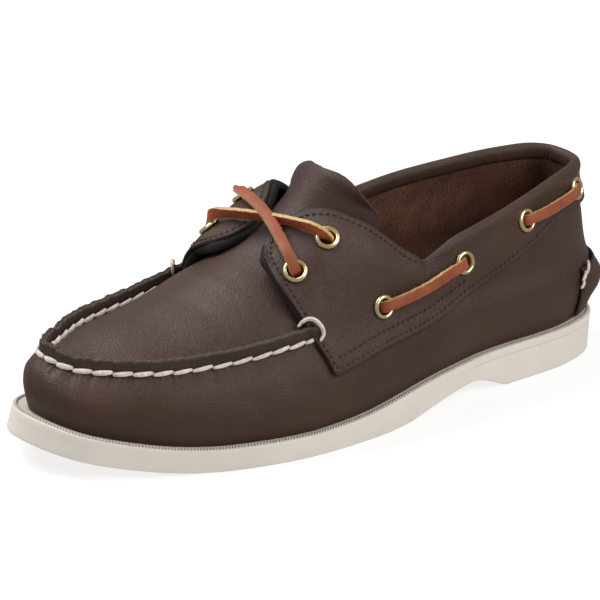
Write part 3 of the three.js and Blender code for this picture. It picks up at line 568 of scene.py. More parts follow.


# %% [markdown]
# Oiled leather is dark brown with a slow drift of tone, paler specks and a fine grain. Every sheet carries
# a mark near its rim, and the mark blends the face towards an edge colour: a darker one is painted shade
# along the edges, and the paler one of the standing ridge is a painted highlight on its cut top.

# %% Brown leather
def leather(name, dark, light, edge_shade_and_highlight, grain, roughness=0.42):
    """Two browns drifting with a slow noise, blended near cut edges into an edge colour that paints shade there
    (a highlight on the ridge), with cells and noise as grain.
    """
    material, nodes, links, shader = surface(name, roughness, Specular_IOR_Level=0.25)
    drift = sum_of(nodes, links, (noise(nodes, links, 28, 4), 0.6), (noise(nodes, links, 2300, 2), 0.4))
    brown = ramp(nodes, links, drift, [(0.36, dark), (0.64, light)])
    speck = ramp(nodes, links, noise(nodes, links, 900, 2), [(0.5, (0, 0, 0)), (0.72, (0.8,) * 3)])
    spotted = blend(nodes, links, speck, brown, light)
    # Near a rim the colour goes over to the edge colour: painted shade, and on the ridge a painted highlight.
    color = blend(nodes, links, attribute(nodes, "edge"), spotted, edge_shade_and_highlight)
    links.new(color, shader.inputs["Base Color"])
    cells = nodes.new("ShaderNodeTexVoronoi")
    cells.feature = "DISTANCE_TO_EDGE"
    cells.inputs["Scale"].default_value = 950
    where = nodes.new("ShaderNodeTexCoord")
    links.new(where.outputs["Object"], cells.inputs["Vector"])
    fine = noise(nodes, links, 1700, 3)
    broad = noise(nodes, links, 110, 3)
    height = sum_of(nodes, links, (cells.outputs["Distance"], 0.9), (fine, 0.6), (broad, 1.3))
    bump(nodes, links, shader, height, grain)
    rough = nodes.new("ShaderNodeMapRange")
    links.new(noise(nodes, links, 60, 4), rough.inputs["Value"])
    rough.inputs["From Min"].default_value, rough.inputs["From Max"].default_value = 0.3, 0.7
    rough.inputs["To Min"].default_value = roughness - 0.06
    rough.inputs["To Max"].default_value = roughness + 0.08
    links.new(rough.outputs["Result"], shader.inputs["Roughness"])
    return material


# Edge colours: the darker ones paint shade along the cut edges, the paler one of the ridge paints a highlight.
BROWN = leather("oiled_brown_leather", dark=(0.037, 0.0178, 0.0122), light=(0.057, 0.0280, 0.0195),
                edge_shade_and_highlight=(0.030, 0.016, 0.012), grain=0.26)
TRIM = leather("band_leather", dark=(0.038, 0.0195, 0.0130), light=(0.060, 0.0315, 0.0210),
               edge_shade_and_highlight=(0.024, 0.013, 0.010), grain=0.30)
CUT = leather("standing_edge_leather", dark=(0.034, 0.0195, 0.0140), light=(0.048, 0.0285, 0.0205),
              edge_shade_and_highlight=(0.062, 0.044, 0.035), grain=0.16, roughness=0.5)
# Near-black leather of the raw wing edges, which also paints the shadow under the wings' borders.
BLACK_EDGE_AND_SHADE = leather("black_wing_edge_and_painted_shadow", dark=(0.0065, 0.0055, 0.0055), light=(0.017, 0.014, 0.013),
              edge_shade_and_highlight=(0.010, 0.008, 0.008), grain=0.35, roughness=0.75)
print("leathers:", BROWN.name, TRIM.name, CUT.name, BLACK_EDGE_AND_SHADE.name)

# %% [markdown]
# Suede is the flesh side of leather, brushed to a nap. It scatters light at its fibres, so it gets sheen,
# a cloudy colour and a deep fine bump, and no shine.

# %% Suede
SUEDE, nodes, links, shader = surface("reddish_suede", 0.95, Sheen_Weight=0.55, Sheen_Roughness=0.45,
                                      Sheen_Tint=(0.45, 0.22, 0.15, 1))
clouds = sum_of(nodes, links, (noise(nodes, links, 70, 5), 0.5), (noise(nodes, links, 1100, 3), 0.5))
links.new(ramp(nodes, links, clouds, [(0.38, (0.032, 0.011, 0.006)), (0.62, (0.150, 0.058, 0.030))]),
          shader.inputs["Base Color"])
bump(nodes, links, shader, noise(nodes, links, 1100, 4), 0.6)
print("lining:", SUEDE.name)

# %% [markdown]
# The rubber is a dull off-white. Under the sole it is cut with a knife into fine zigzags, which open when
# the foot bends and grip a wet deck. They are too fine to model, so they are a pattern in the material
# that shows only where the face looks down. On the rim the valleys between the teeth are painted darker,
# as painted shade.

# %% Rubber
def siping(nodes, links, pitch=0.0042, zigzag=0.0035):
    """Knife cuts under the sole: where a sine of the length, pushed to and fro across the width, is
    high and the face looks down, the value is 1."""
    kinds = ("TexCoord", "SeparateXYZ", "NewGeometry", "SeparateXYZ")
    where, apart, facing, down = (nodes.new(f"ShaderNode{kind}") for kind in kinds)
    links.new(where.outputs["Object"], apart.inputs[0])
    links.new(facing.outputs["True Normal"], down.inputs[0])

    def worked(operation, *values):
        """One sum of the recipe, from numbers or outputs."""
        node = nodes.new("ShaderNodeMath")
        node.operation = operation
        for k, value in enumerate(values):
            if isinstance(value, float):
                node.inputs[k].default_value = value
            else:
                links.new(value, node.inputs[k])
        return node.outputs[0]

    pushed = worked("ADD", apart.outputs["Y"], worked("PINGPONG", apart.outputs["X"], zigzag))
    wave = worked("SINE", worked("MULTIPLY", pushed, 2 * np.pi / pitch))
    return worked("MULTIPLY", worked("GREATER_THAN", wave, 0.8), worked("LESS_THAN", down.outputs["Z"], -0.8))


RUBBER, nodes, links, shader = surface("pale_rubber", 0.62, Specular_IOR_Level=0.4)
pale = ramp(nodes, links, noise(nodes, links, 45, 5),
            [(0.3, (0.575, 0.525, 0.46)), (0.7, (0.625, 0.575, 0.51))])
cuts = siping(nodes, links)
links.new(blend(nodes, links, cuts, pale, (0.30, 0.27, 0.23)), shader.inputs["Base Color"])
pores = sum_of(nodes, links, (noise(nodes, links, 1400, 3), 1.0), (noise(nodes, links, 150, 2), 0.6),
               (cuts, -6.0))
bump(nodes, links, shader, pores, 0.06)

KNURL, nodes, links, shader = surface("knurled_rubber", 0.7, Specular_IOR_Level=0.2)
pale = ramp(nodes, links, noise(nodes, links, 200, 3),
            [(0.3, (0.50, 0.43, 0.36)), (0.7, (0.60, 0.54, 0.47))])
# The valleys between the teeth get a darker colour: painted shade.
links.new(blend(nodes, links, attribute(nodes, "painted_valley_shade"), pale, (0.20, 0.135, 0.10)),
          shader.inputs["Base Color"])
print("rubbers:", RUBBER.name, KNURL.name)

# %% [markdown]
# The eyelets are pale brass, a metal with a little noise in its colour. The lace is one strip with two
# finishes, so an attribute says where its rough back and edges begin. The waxed thread is twisted, which
# a diagonal wave on its UV map shows, and the thread of the fine rows is nearly black.

# %% Brass, lace and thread
BRASS, nodes, links, shader = surface("pale_brass", 0.24, Metallic=1.0)
gold = ramp(nodes, links, noise(nodes, links, 400, 3), [(0.3, (0.78, 0.62, 0.31)), (0.7, (0.90, 0.76, 0.46))])
links.new(gold, shader.inputs["Base Color"])
bump(nodes, links, shader, noise(nodes, links, 900, 2), 0.01)

LACE, nodes, links, shader = surface("tan_lace_leather", 0.45, Specular_IOR_Level=0.45)
face = ramp(nodes, links, noise(nodes, links, 120, 4),
            [(0.3, (0.19, 0.038, 0.010)), (0.72, (0.29, 0.066, 0.017))])
back = ramp(nodes, links, noise(nodes, links, 800, 4),
            [(0.3, (0.34, 0.20, 0.065)), (0.7, (0.58, 0.40, 0.17))])
links.new(blend(nodes, links, attribute(nodes, "rough"), face, back), shader.inputs["Base Color"])
fibres = sum_of(nodes, links, (noise(nodes, links, 2200, 4), 1.0), (noise(nodes, links, 300, 3), 0.8))
bump(nodes, links, shader, fibres, 0.16)

THREAD, nodes, links, shader = surface("cream_thread", 0.7, Sheen_Weight=0.2)
cream = ramp(nodes, links, noise(nodes, links, 500, 4), [(0.3, (0.56, 0.46, 0.39)), (0.7, (0.78, 0.69, 0.60))])
links.new(cream, shader.inputs["Base Color"])
twist = nodes.new("ShaderNodeTexWave")
twist.inputs["Scale"].default_value = 0.55
twist.inputs["Distortion"].default_value = 2.0
twist.bands_direction = "DIAGONAL"
links.new(nodes.new("ShaderNodeTexCoord").outputs["UV"], twist.inputs["Vector"])
bump(nodes, links, shader, twist.outputs["Fac"], 0.18)

DARK_THREAD, nodes, links, shader = surface("dark_thread", 0.6)
soot = ramp(nodes, links, noise(nodes, links, 600, 2),
            [(0.3, (0.012, 0.007, 0.006)), (0.7, (0.03, 0.017, 0.013))])
links.new(soot, shader.inputs["Base Color"])
print("materials:", len(bpy.data.materials))

# %% [markdown]
# ## Camera, floor and light
#
# The camera stands where the photographer stood: about 22 degrees up and 51 degrees round from the toe,
# some one and a half metres away with a long lens, rolled a little. A pale floor and large soft lights
# leave the ground white and lay one broad sheen over the leather.

# %% Camera
AZIMUTH, ELEVATION, ROLL = np.radians([51.1, 21.95, -2.77])
DISTANCE, PIXELS_PER_MM, SIDEWAYS, UPWARDS = 1475.0, 2.31, 16.7, 1.0
level_back = np.array([np.sin(AZIMUTH), -np.cos(AZIMUTH), 0])
back = level_back * np.cos(ELEVATION) + [0, 0, np.sin(ELEVATION)]
right = np.array([np.cos(AZIMUTH), np.sin(AZIMUTH), 0.0])
above = np.cross(back, right)
target = (np.array([0, 0, 45.0]) - SHIFT) / 1000
lens = bpy.data.cameras.new("camera")
lens.sensor_width = 36
lens.lens = 36 * PIXELS_PER_MM * DISTANCE / 600
lens.shift_x = -(SIDEWAYS * np.cos(ROLL) + UPWARDS * np.sin(ROLL)) / 600
lens.shift_y = (SIDEWAYS * np.sin(ROLL) - UPWARDS * np.cos(ROLL)) / 600
lens.clip_end = 20
camera = bpy.data.objects.new("camera", lens)
bpy.context.collection.objects.link(camera)
turned_right = right * np.cos(ROLL) - above * np.sin(ROLL)
turned_up = right * np.sin(ROLL) + above * np.cos(ROLL)
eye = target + back * DISTANCE / 1000
camera.matrix_world = Matrix([*np.column_stack([turned_right, turned_up, back, eye]), (0, 0, 0, 1)])
bpy.context.scene.camera = camera
print("lens:", round(lens.lens, 1), "mm, camera", round(DISTANCE), "mm away")

# %% Floor and light
floor_mesh = bpy.data.meshes.new("floor")
floor_mesh.from_pydata([(-6, -6, 0), (6, -6, 0), (6, 6, 0), (-6, 6, 0)], [], [(0, 1, 2, 3)])
floor = bpy.data.objects.new("floor", floor_mesh)
bpy.context.collection.objects.link(floor)
WHITE, nodes, links, shader = surface("white_floor", 0.9, Specular_IOR_Level=0.1)
shader.inputs["Base Color"].default_value = (0.3, 0.3, 0.3, 1)
shader.inputs["Emission Color"].default_value = (1, 1, 1, 1)
shader.inputs["Emission Strength"].default_value = 0.72
floor_mesh.materials.append(WHITE)
floor.visible_glossy = False

world = bpy.data.worlds.new("studio")
world.use_nodes = True
nodes, links = world.node_tree.nodes, world.node_tree.links
nodes["Background"].inputs["Color"].default_value = (1, 1, 1, 1)
seen = nodes.new("ShaderNodeMapRange")
seen.inputs["To Min"].default_value, seen.inputs["To Max"].default_value = 0.32, 1.0
links.new(nodes.new("ShaderNodeLightPath").outputs["Is Camera Ray"], seen.inputs["Value"])
links.new(seen.outputs["Result"], nodes["Background"].inputs["Strength"])
bpy.context.scene.world = world
bpy.context.scene.view_settings.view_transform = "Standard"


def soft_light(name, where, size, power):
    """A square soft light aimed at the shoe."""
    lamp = bpy.data.lights.new(name, "AREA")
    lamp.size, lamp.energy = size, power
    holder = bpy.data.objects.new(name, lamp)
    holder.location = where
    holder.rotation_euler = (Vector((0, 0, 0.05)) - Vector(where)).to_track_quat("-Z", "Y").to_euler()
    bpy.context.collection.objects.link(holder)
    return holder


soft_light("overhead", (-0.72, -0.42, 1.3), 1.15, 28).data.color = (0.96, 0.97, 1.0)
soft_light("front", (-0.4, -1.2, 1.25), 0.5, 2.5)
soft_light("side", (1.3, 0.6, 1.2), 1.2, 23)
print("lights:", len(bpy.data.lights))

# %% [markdown]
# ## Sole
#
# The sole is moulded in one piece. Its section is worked out at many distances from the heel, on both
# sides at once, and joined across the top and the bottom. A thin line runs below the rim at the heel.

# %% Sole body
def sole_section(side, alongs, profile):
    """The profile's points at each distance: (distances, places, 3)."""
    edge = edge_at(side, 1 - alongs / LENGTH, "far")
    shown = smooth_step((0.36 - alongs / LENGTH) / 0.05)
    insets = [np.where(k in LINE_PLACES, -0.12 + 0.34 * shown, inset) for k, (inset, _) in enumerate(profile)]
    return np.stack([sole_point(edge, inset, height) for inset, (_, height) in zip(insets, profile)], 1)


def above_floor(rise):
    """A height over the sole's underside."""
    return lambda along: arch(along) + rise


def below_top(drop):
    """A height under the sole's upper face."""
    return lambda along: thickness(along) - drop


SOLE_PROFILE = [
    (2.2, above_floor(0.0)), (SOLE_EDGE, above_floor(0.0)), (0.4, above_floor(0.15)), (0.1, above_floor(0.45)),
    (0.0, above_floor(SOLE_EDGE)), (0.0, above_floor(2.0)), (-0.1, below_top(4.9)), (-0.12, below_top(4.3)),
    (0.22, below_top(4.05)), (0.22, below_top(3.85)), (-0.15, below_top(3.6)), (-0.2, below_top(RIM_HEIGHT)),
    (-0.3, below_top(2.0)), (-0.35, below_top(1.0)), (-0.3, below_top(0.35)), (-0.1, below_top(0.05)),
    (0.3, below_top(-0.05)), (2.2, below_top(0.0)), (4.0, below_top(0.0)),
]
LINE_PLACES = (8, 9)
alongs = (1 - np.cos(np.pi * np.arange(301) / 300)) / 2 * LENGTH
outer, inner = (sole_section(side, alongs, SOLE_PROFILE) for side in (1, -1))
share = np.linspace(0, 1, 14)[1:-1, None]
bottom = inner[:, None, 0] * (1 - share) + outer[:, None, 0] * share
top = outer[:, None, -1] * (1 - share) + inner[:, None, -1] * share
ring = np.concatenate([outer, top, inner[:, ::-1], bottom], 1)
piece("sole", ring.reshape(-1, 3), quads(*ring.shape[:2], wrap_cols=True), RUBBER, "rubber", ["outsole"],
      crease=38)

# %% [markdown]
# On the ledge lies a bead of slanting teeth, six points of the outline apart. It is a strip of its own,
# because only there are points needed so close together. Each of its lines has a height for every point:
# a cosine makes the teeth, shifted a little from line to line so that they lean, and half a sine across
# the strip makes the bead round. How deep a point lies between two teeth goes to the material as a mark,
# which darkens the valleys as painted shade.

# %% Knurled rim
POINTS_PER_TOOTH, RIM_LINES, RIM_SPAN = 6, 11, 2.2
turn = np.arange(len(loop))
heads = unit(loop[turn - 4] - loop[(turn + 4) % len(loop)])
rim_edge = {"along": loop[:, 0], "out": loop[:, 1], "head_along": heads[:, 1], "head_out": -heads[:, 0]}
rows, valley_shades = [], []
for k in range(RIM_LINES):
    across = k / (RIM_LINES - 1)
    tooth = 0.5 + 0.5 * np.cos(2 * np.pi * (turn / POINTS_PER_TOOTH + 0.4 * across))
    dome = np.sin(np.pi * across) ** 0.6
    crest = -0.9 + dome * (0.95 + 0.95 * tooth ** 0.7)
    rows.append(sole_point(rim_edge, 0.02 + RIM_SPAN * across, lambda along, h=crest: thickness(along) + h))
    # The mark is deepest in the valleys between the teeth, where the material paints shade.
    valley_shades.append((1 - tooth) ** 1.5 * dome)
rows += [sole_point(rim_edge, inset, lambda along: thickness(along) - 1.2) for inset in (2.1, 0.3)]
valley_shades += [np.zeros(len(turn))] * 2
rim = np.stack(rows, 1)
piece("knurled_rim", rim.reshape(-1, 3), quads(*rim.shape[:2], True, True), KNURL, "rubber",
      layers={"painted_valley_shade": np.stack(valley_shades, 1).ravel()}, crease=60)

# %% [markdown]
# ## Wall and lining
#
# The wall is drawn between the sole and the seam, and behind the seam's end up under the band. Where the
# thread pulls the two leathers together the wall is gathered: it dips at each hole and puffs between
# holes, most round the toe where there is more leather to take in.

# %% Where the needle went through
seam_bases = np.linspace(0, 0.43, 1700)
SEAM_ARC = {side: arc(level(SEAM, COLLAR_HEIGHT, side, seam_bases)) for side in (1, -1)}
HOLES = {
    1: np.array([-0.2, 6.9, 14.2, 22.4, 30.8, 39.1, 47.5, 55.8,
                 64.0, 72.9, 81.6, 90.5, 99.6, 107.5, 115.0, 121.0]),
    -1: np.array([-0.2, 6.6, 13.6, 20.8, 28.1, 35.5, 42.9, 50.3,
                  57.7, 65.1, 72.5, 79.9, 87.3, 94.7, 102.1, 109.5]),
}


def seam_place(side, base):
    """Distance along the seam from the toe tip, in millimetres."""
    return np.interp(base, seam_bases, SEAM_ARC[side])


def gather(side, distance):
    """0 at a hole and 1 midway between two holes."""
    holes = HOLES[side]
    number = np.interp(distance, holes, np.arange(len(holes)))
    return np.abs(np.sin(np.pi * number))


print("holes on the outer side:", len(HOLES[1]), "and on the inner:", len(HOLES[-1]))

# %% Wall
def low_rows(side, base, shares):
    """Rows from the sole to the seam, and behind it to just under the band's edge."""
    front = base < SEAM_END
    rows = np.empty((len(base), len(shares), 3))
    rows[front] = follow(rib(side, base[front]), shares[None])
    line = rib(side, base[~front])
    under = COLLAR_HEIGHT * read(BAND, "rise", base[~front])
    under = under + 6 * smooth_step((base[~front] - SEAM_END) / 0.019)
    rows[~front] = follow(line, share_at(line, under)[:, None] * shares)
    return rows


def once_round(make, base):
    """Outer ribs from toe to heel, then inner ribs back to the toe."""
    return np.concatenate([make(1, base), make(-1, base[::-1][1:-1])])


BASES = np.concatenate([np.linspace(0, SEAM_END, 170, endpoint=False), np.linspace(SEAM_END, 1, 151)])
SHARES = 1 - (1 - np.linspace(0, 1, 46)) ** 1.25
wall = once_round(lambda side, base: low_rows(side, base, SHARES), BASES)
wall = soften(wall, 2.0, True)
side_of = np.concatenate([np.ones(len(BASES)), -np.ones(len(BASES) - 2)])
base_of = np.concatenate([BASES, BASES[::-1][1:-1]])
print("ribs round the wall:", *wall.shape[:1], "with", len(SHARES), "points each")

# %% [markdown]
# A gather has three parts: a pull inwards at each hole, a puff between two holes a few millimetres lower
# down, and fine folds of no fixed length, made from sines of unrelated lengths. All three fade with the
# distance below the seam.

# %% Puckers
def puckers(grid):
    """Depth of the gathers: deep at the holes, fading with the distance below the seam."""
    below = travelled(grid[:, ::-1], 1)[:, ::-1]
    depth = np.zeros(below.shape)
    for side in (1, -1):
        mine = side_of == side
        base = base_of[mine]
        place_on = seam_place(side, base)
        puff = gather(side, place_on)[:, None]
        near_toe = np.exp(-(base / 0.16) ** 2)[:, None]
        wander = np.sin(2.1 * place_on + 1.9 * np.sin(0.37 * place_on))
        ripple = np.sin(3.9 * place_on + 2.3 * np.sin(0.83 * place_on))
        fold = (wander + 0.6 * ripple)[:, None]
        reach = 3.6 + 4.5 * near_toe
        tight = np.exp(-below[mine] / reach)
        depth[mine] = (-(0.42 + 0.28 * near_toe) * (1 - puff) * tight
                       + (0.10 + 0.20 * near_toe) * fold * np.exp(-below[mine] / (2 + 2.5 * near_toe))
                       + 0.28 * near_toe * puff * np.exp(-((below[mine] - 3) / 4) ** 2))
        depth[mine] *= (base < RIDGE_END + 0.01)[:, None]
    return depth


WALL_PUCKERS = puckers(wall)
print(f"gathers from {WALL_PUCKERS.min():.2f} to {WALL_PUCKERS.max():.2f} mm")

# %% [markdown]
# Where the foot bends, the leather has soft creases. Each is drawn as a line on the side, through three
# places, and the wall sinks or rises round it like a bell. A trough with a low ridge beside it looks more
# like leather than a trough alone.

# %% Creases
def line_on(side, bases, shares):
    """Forty points on the side of the shoe, between places given by base and share."""
    at = np.linspace(0, len(bases) - 1, 40)
    base, share = (np.interp(at, np.arange(len(bases)), values) for values in (bases, shares))
    return follow(rib(side, base), share[:, None])[:, 0]


def crease(points, line, width, depth):
    """Depth times a bell of the distance to a line, fading towards its two ends with a sine."""
    gaps = ((points[..., None, :] - line) ** 2).sum(-1)
    fade = np.sin(np.pi * (gaps.argmin(-1) + 0.5) / len(line))
    return depth * np.exp(-gaps.min(-1) / width ** 2) * fade


# side, places along the base, shares of the height, width in mm, depth in mm
CREASES = [
    (1, (0.412, 0.426, 0.448), (0.62, 0.45, 0.22), 5.0, -0.55),
    (1, (0.385, 0.398, 0.420), (0.66, 0.42, 0.18), 5.5, -0.45),
    (1, (0.399, 0.412, 0.434), (0.64, 0.44, 0.20), 4.0, 0.35),
    (1, (0.300, 0.318, 0.350), (0.70, 0.45, 0.22), 6.0, -0.35),
    (1, (0.560, 0.640, 0.720), (0.60, 0.42, 0.36), 8.0, -0.40),
    (-1, (0.410, 0.430, 0.455), (0.62, 0.42, 0.2), 5.0, -0.55),
    (-1, (0.380, 0.395, 0.420), (0.66, 0.42, 0.18), 5.5, -0.40),
]
wall_creases = sum(crease(wall, line_on(side, b, s), width, depth) for side, b, s, width, depth in CREASES)
piece("wall", **thick(wall, -1.1, WALL_PUCKERS + wall_creases, closed=True), material=BROWN, slot="leather",
      stands_for=["upper"])

# %% [markdown]
# The lining is a sheet just inside the wall. At the heel it reaches up to the top edge, and in the front
# part only to the seam's height, where the wings and the plug take over.

# %% Suede lining
def full_rows(side, base, shares):
    """Rows from the sole to the top edge."""
    return follow(rib(side, base), shares[None])


def round_heel(make, base):
    """Outer ribs backwards round the heel, then inner ribs forwards."""
    return np.concatenate([make(1, base), make(-1, base[::-1][1:])])


def seam_rows(side, base, shares):
    """Rows from the sole to the height of the seam."""
    front = base < SEAM_END
    rows = np.empty((len(base), len(shares), 3))
    rows[front] = follow(rib(side, base[front]), shares[None])
    line = rib(side, base[~front])
    rows[~front] = follow(line, share_at(line, line[0][:, 3, 2])[:, None] * shares)
    return rows


heel_bases = np.linspace(0.562, 1, 130)
lining = soften(round_heel(lambda side, base: full_rows(side, base, np.linspace(0, 1, 40)), heel_bases), 1.5)
piece("quarter_lining", **thick(lining, -2.1, -1.15), material=SUEDE, slot="suede")
toe_bases = np.linspace(0, 0.562, 90)
toe_lining = np.concatenate([seam_rows(-1, toe_bases[::-1][:-1], np.linspace(0, 0.97, 20)),
                             seam_rows(1, toe_bases, np.linspace(0, 0.97, 20))])
piece("toe_lining", **thick(toe_lining, -2.1, -1.15), material=SUEDE, slot="suede")

# %% [markdown]
# The insole is a ring of edge points on both sides, joined over the top and under the bottom. Its top is
# hollowed by 0.8 mm like a footbed, and its upper edge is rounded in three steps.

# %% Insole
insole_bases = np.linspace(0, 1, 90)
edge_rows = []
for side in (1, -1):
    edge = edge_at(side, insole_bases)
    inset = LEDGE * read(LEDGES, "share", insole_bases) + WALL + 0.9
    edge_rows.append(np.stack([
        sole_point(edge, inset + r, lambda along, h=h: thickness(along) + FIT + h)
        for r, h in ((0.4, 0.0), (0.0, 0.4), (0.0, 2.3), (0.25, 2.8), (1.2, 3.0))
    ], 1))
across = np.linspace(0, 1, 26)[1:-1, None]
cup = 1.0 - np.abs(2 * across - 1) ** 3
top = edge_rows[0][:, None, -1] * (1 - across) + edge_rows[1][:, None, -1] * across - [0, 0, 1] * cup * 0.8
bottom = edge_rows[1][:, None, 0] * (1 - across) + edge_rows[0][:, None, 0] * across
footbed = np.concatenate([edge_rows[0], top, edge_rows[1][:, ::-1], bottom], 1)
piece("insole_cover", footbed.reshape(-1, 3), quads(*footbed.shape[:2], wrap_cols=True), SUEDE, "suede",
      ["insole"])

# %% [markdown]
# ## Plug and tongue
#
# The plug lies flat over the toes between the two seams and carries on under the wings as the tongue.
# Each rung of the grid starts at the middle line and drops to both edges with the square of the
# distance, which is how leather bends over a last.

# %% Plug and tongue in one sheet
ACROSS = np.sin(np.pi / 2 * np.linspace(-1, 1, 85))


def rungs(spine, outer, inner, inner_power):
    """Rungs over a middle line: x runs evenly to each edge, y and z drop with the square. On the inner
    side z drops with its own power, because there the crown falls away sooner."""
    c = ACROSS[None, :, None]
    edge = np.where(c > 0, outer[:, None], inner[:, None])
    gap = edge - spine[:, None]
    power = np.where(c > 0, 2.0, np.reshape(inner_power, (-1, 1, 1)))
    shares = np.concatenate(np.broadcast_arrays(np.abs(c), c * c, np.abs(c) ** power), -1)
    return spine[:, None] + gap * shares


plug_bases = np.linspace(0.028, SEAM_END, 110)
along = read(APRON, "along", plug_bases) * LENGTH
spine = place(along, middle(along), read(APRON, "rise", plug_bases) * INSTEP_HEIGHT)
edges = [level(SEAM, COLLAR_HEIGHT, side, plug_bases) + [-side * 0.9, 0, -1.5] for side in (1, -1)]
plug = rungs(spine, *edges, np.interp(plug_bases, [0.028, 0.12, 0.3, 0.4], [1.6, 1.25, 1.25, 1.7]))
from_edge = (1 - np.abs(ACROSS))[None] * np.abs(edges[0][:, 0] - edges[1][:, 0])[:, None] / 2
plug[..., 2] -= 1.1 * np.exp(-((from_edge - 3.2) / 3.2) ** 2)
inner_dip = np.where(ACROSS < 0, 2.6, 0) * np.exp(-((from_edge - 6) / 5.5) ** 2)
plug[..., 2] -= inner_dip * smooth_step((0.425 - plug_bases[:, None]) / 0.04)
steps = np.linspace(0.04, 1, 110)
along = read(TONGUE_LINE, "along", steps, "step") * LENGTH
edge = read(TONGUE_LINE, "edge", steps, "step") * LENGTH
out = read(TONGUE_LINE, "out", steps, "step") * HALF
spine = place(along, middle(along), read(TONGUE_LINE, "rise", steps, "step") * INSTEP_HEIGHT)
rise = read(TONGUE_LINE, "side", steps, "step") * INSTEP_HEIGHT
swing = {1: 0 * steps, -1: read(TONGUE_SWING, "forward", steps, "step")}
tongue = rungs(spine, *(place(edge + swing[side], middle(edge) + side * out, rise) for side in (1, -1)),
               np.interp(steps, [0.04, 0.34], [1.7, 2.0]))
plug_and_tongue = soften(np.concatenate([plug, tongue]), 1.5)
# first and last row, width in mm, depth in mm
PLUG_CREASES = [(78, 92, 5.0, -0.5), (96, 104, 4.0, 0.35), (112, 124, 4.5, -0.45), (60, 66, 6.0, -0.3)]
for first, last, width, depth in PLUG_CREASES:
    columns_at = (np.linspace(0.15, 0.85, 40) * (len(ACROSS) - 1)).round().astype(int)
    rows_at = np.linspace(first, last, 40).round().astype(int)
    plug_and_tongue[..., 2] += crease(plug_and_tongue, plug_and_tongue[rows_at, columns_at], width, depth)
piece("plug_and_tongue", **thick(plug_and_tongue, -2.0, 0.0, rim=0.9), material=BROWN, slot="leather",
      stands_for=["tongue"])

# %% [markdown]
# ## Standing ridge
#
# Both leathers are turned up along the seam and cut off a few millimetres above it. The outer face is
# the back of the turned-up edge, flatter and darker than the wall. Its cut top is never even: it dips
# where a stitch pulls and is nicked by the knife, so its height and lean follow the holes.

# %% Ridge
RIDGE_STOP = 0.409
ridge_bases = np.linspace(0, RIDGE_STOP, 300)
seam = soften(np.concatenate([level(SEAM, COLLAR_HEIGHT, -1, ridge_bases[::-1][:-1]),
                              level(SEAM, COLLAR_HEIGHT, 1, ridge_bases)]), 2.0)
ridge_side = np.concatenate([-np.ones(299), np.ones(300)])
ridge_base = np.concatenate([ridge_bases[::-1][:-1], ridge_bases])
ridge_arc = np.where(ridge_side > 0, seam_place(1, ridge_base), seam_place(-1, ridge_base))
ridge_puff = np.where(ridge_side > 0, gather(1, ridge_arc), gather(-1, ridge_arc))
inward = np.gradient(seam, axis=0) * [1, 1, 0]
inward = unit(np.cross(inward, [0, 0, -1.0]))
signed = ridge_arc * ridge_side


def wobble(x, *waves):
    """A sum of sines of unrelated lengths, as a steady kind of chance."""
    return sum(a * np.sin(2 * np.pi * x / length + 1.7 * k) for k, (length, a) in enumerate(waves))


RIDGE_PROFILE = np.array([
    (3.2, -2.0), (3.2, -0.6), (3.15, 0.4), (3.25, 1.4), (3.4, 2.6), (3.45, 3.9), (3.4, 5.0), (3.15, 5.7),
    (2.7, 5.95), (2.25, 5.85), (2.0, 5.45), (1.8, 5.5), (1.55, 6.0), (1.1, 6.2), (0.65, 5.9), (0.45, 5.2),
    (0.42, 4.2), (0.4, 3.0), (0.3, 1.8), (0.15, 0.9), (0.05, 0.2), (0.1, -0.6), (0.15, -2.0),
])[::-1]
toe_share = np.exp(-(ridge_base / 0.13) ** 2)
nicks = wobble(signed, (8.9, 0.018), (4.3, 0.022), (1.73, 0.014), (0.9, 0.010))
height = 0.95 + 0.05 * ridge_puff + nicks * (1 + 1.2 * toe_share)
height -= 0.20 * np.exp(-(((ridge_base - RIDGE_STOP) / 0.005) ** 2))
lean = wobble(signed, (17.0, 0.28), (7.3, 0.14), (2.9, 0.04)) * (0.6 + 1.2 * toe_share)
i_rel, r_rel = RIDGE_PROFILE[:, 0], RIDGE_PROFILE[:, 1]
up_share = np.clip(r_rel / 6, 0, 1)
pinch = np.exp(-((r_rel - 0.6) / 1.1) ** 2) * np.where(i_rel > 1.7, -1, 1)
over_wing = -1.9 * smooth_step((ridge_base - 0.394) / 0.010)
inset = i_rel[None] + over_wing[:, None] + lean[:, None] * up_share[None]
inset = inset + 0.42 * (1 - ridge_puff)[:, None] * pinch[None]
rise = np.where(r_rel > 0, r_rel, 0)[None] * height[:, None] + np.minimum(r_rel, 0)[None]
ridge = capped(seam[:, None] + inward[:, None] * inset[..., None] + rise[..., None] * np.array([0, 0, 1.0]))
# The mark on the cut top makes it paler: a painted highlight, where light catches the cut edge.
painted_highlight_on_top = np.exp(-((np.broadcast_to(r_rel, ridge.shape[:2]) - 6.2) / 0.7) ** 2).ravel()
piece("standing_ridge", ridge.reshape(-1, 3), quads(*ridge.shape[:2], wrap_cols=True), CUT, "leather",
      uv=along_and_round(ridge, RIDGE_PROFILE), layers={"edge": painted_highlight_on_top}, crease=70)

# %% [markdown]
# ## Wings and collar band
#
# One strip of leather covers the instep on each side and runs back round the heel. Its front rows are the
# wings, which are free and show a thick black raw edge, so a second, darker sheet lies under each wing
# and stands out a little past it. That black sheet is the raw edge and also painted shadow: it is made
# thick enough to paint the shade under the wing's border.

# %% Eyelet places
def spots(side, base, rise):
    """Points on the band with their outward directions, for arrays of places and heights."""
    line, step = rib(side, base), 0.01
    share = share_at(line, rise)[:, None]
    turn = follow(rib(side, base + step), share) - follow(rib(side, base - step), share)
    up = follow(line, share + step) - follow(line, share - step)
    head = unit(side * np.cross(turn, up))[:, 0]
    return follow(line, share)[:, 0] + head * (FIT + OVERLAY), head


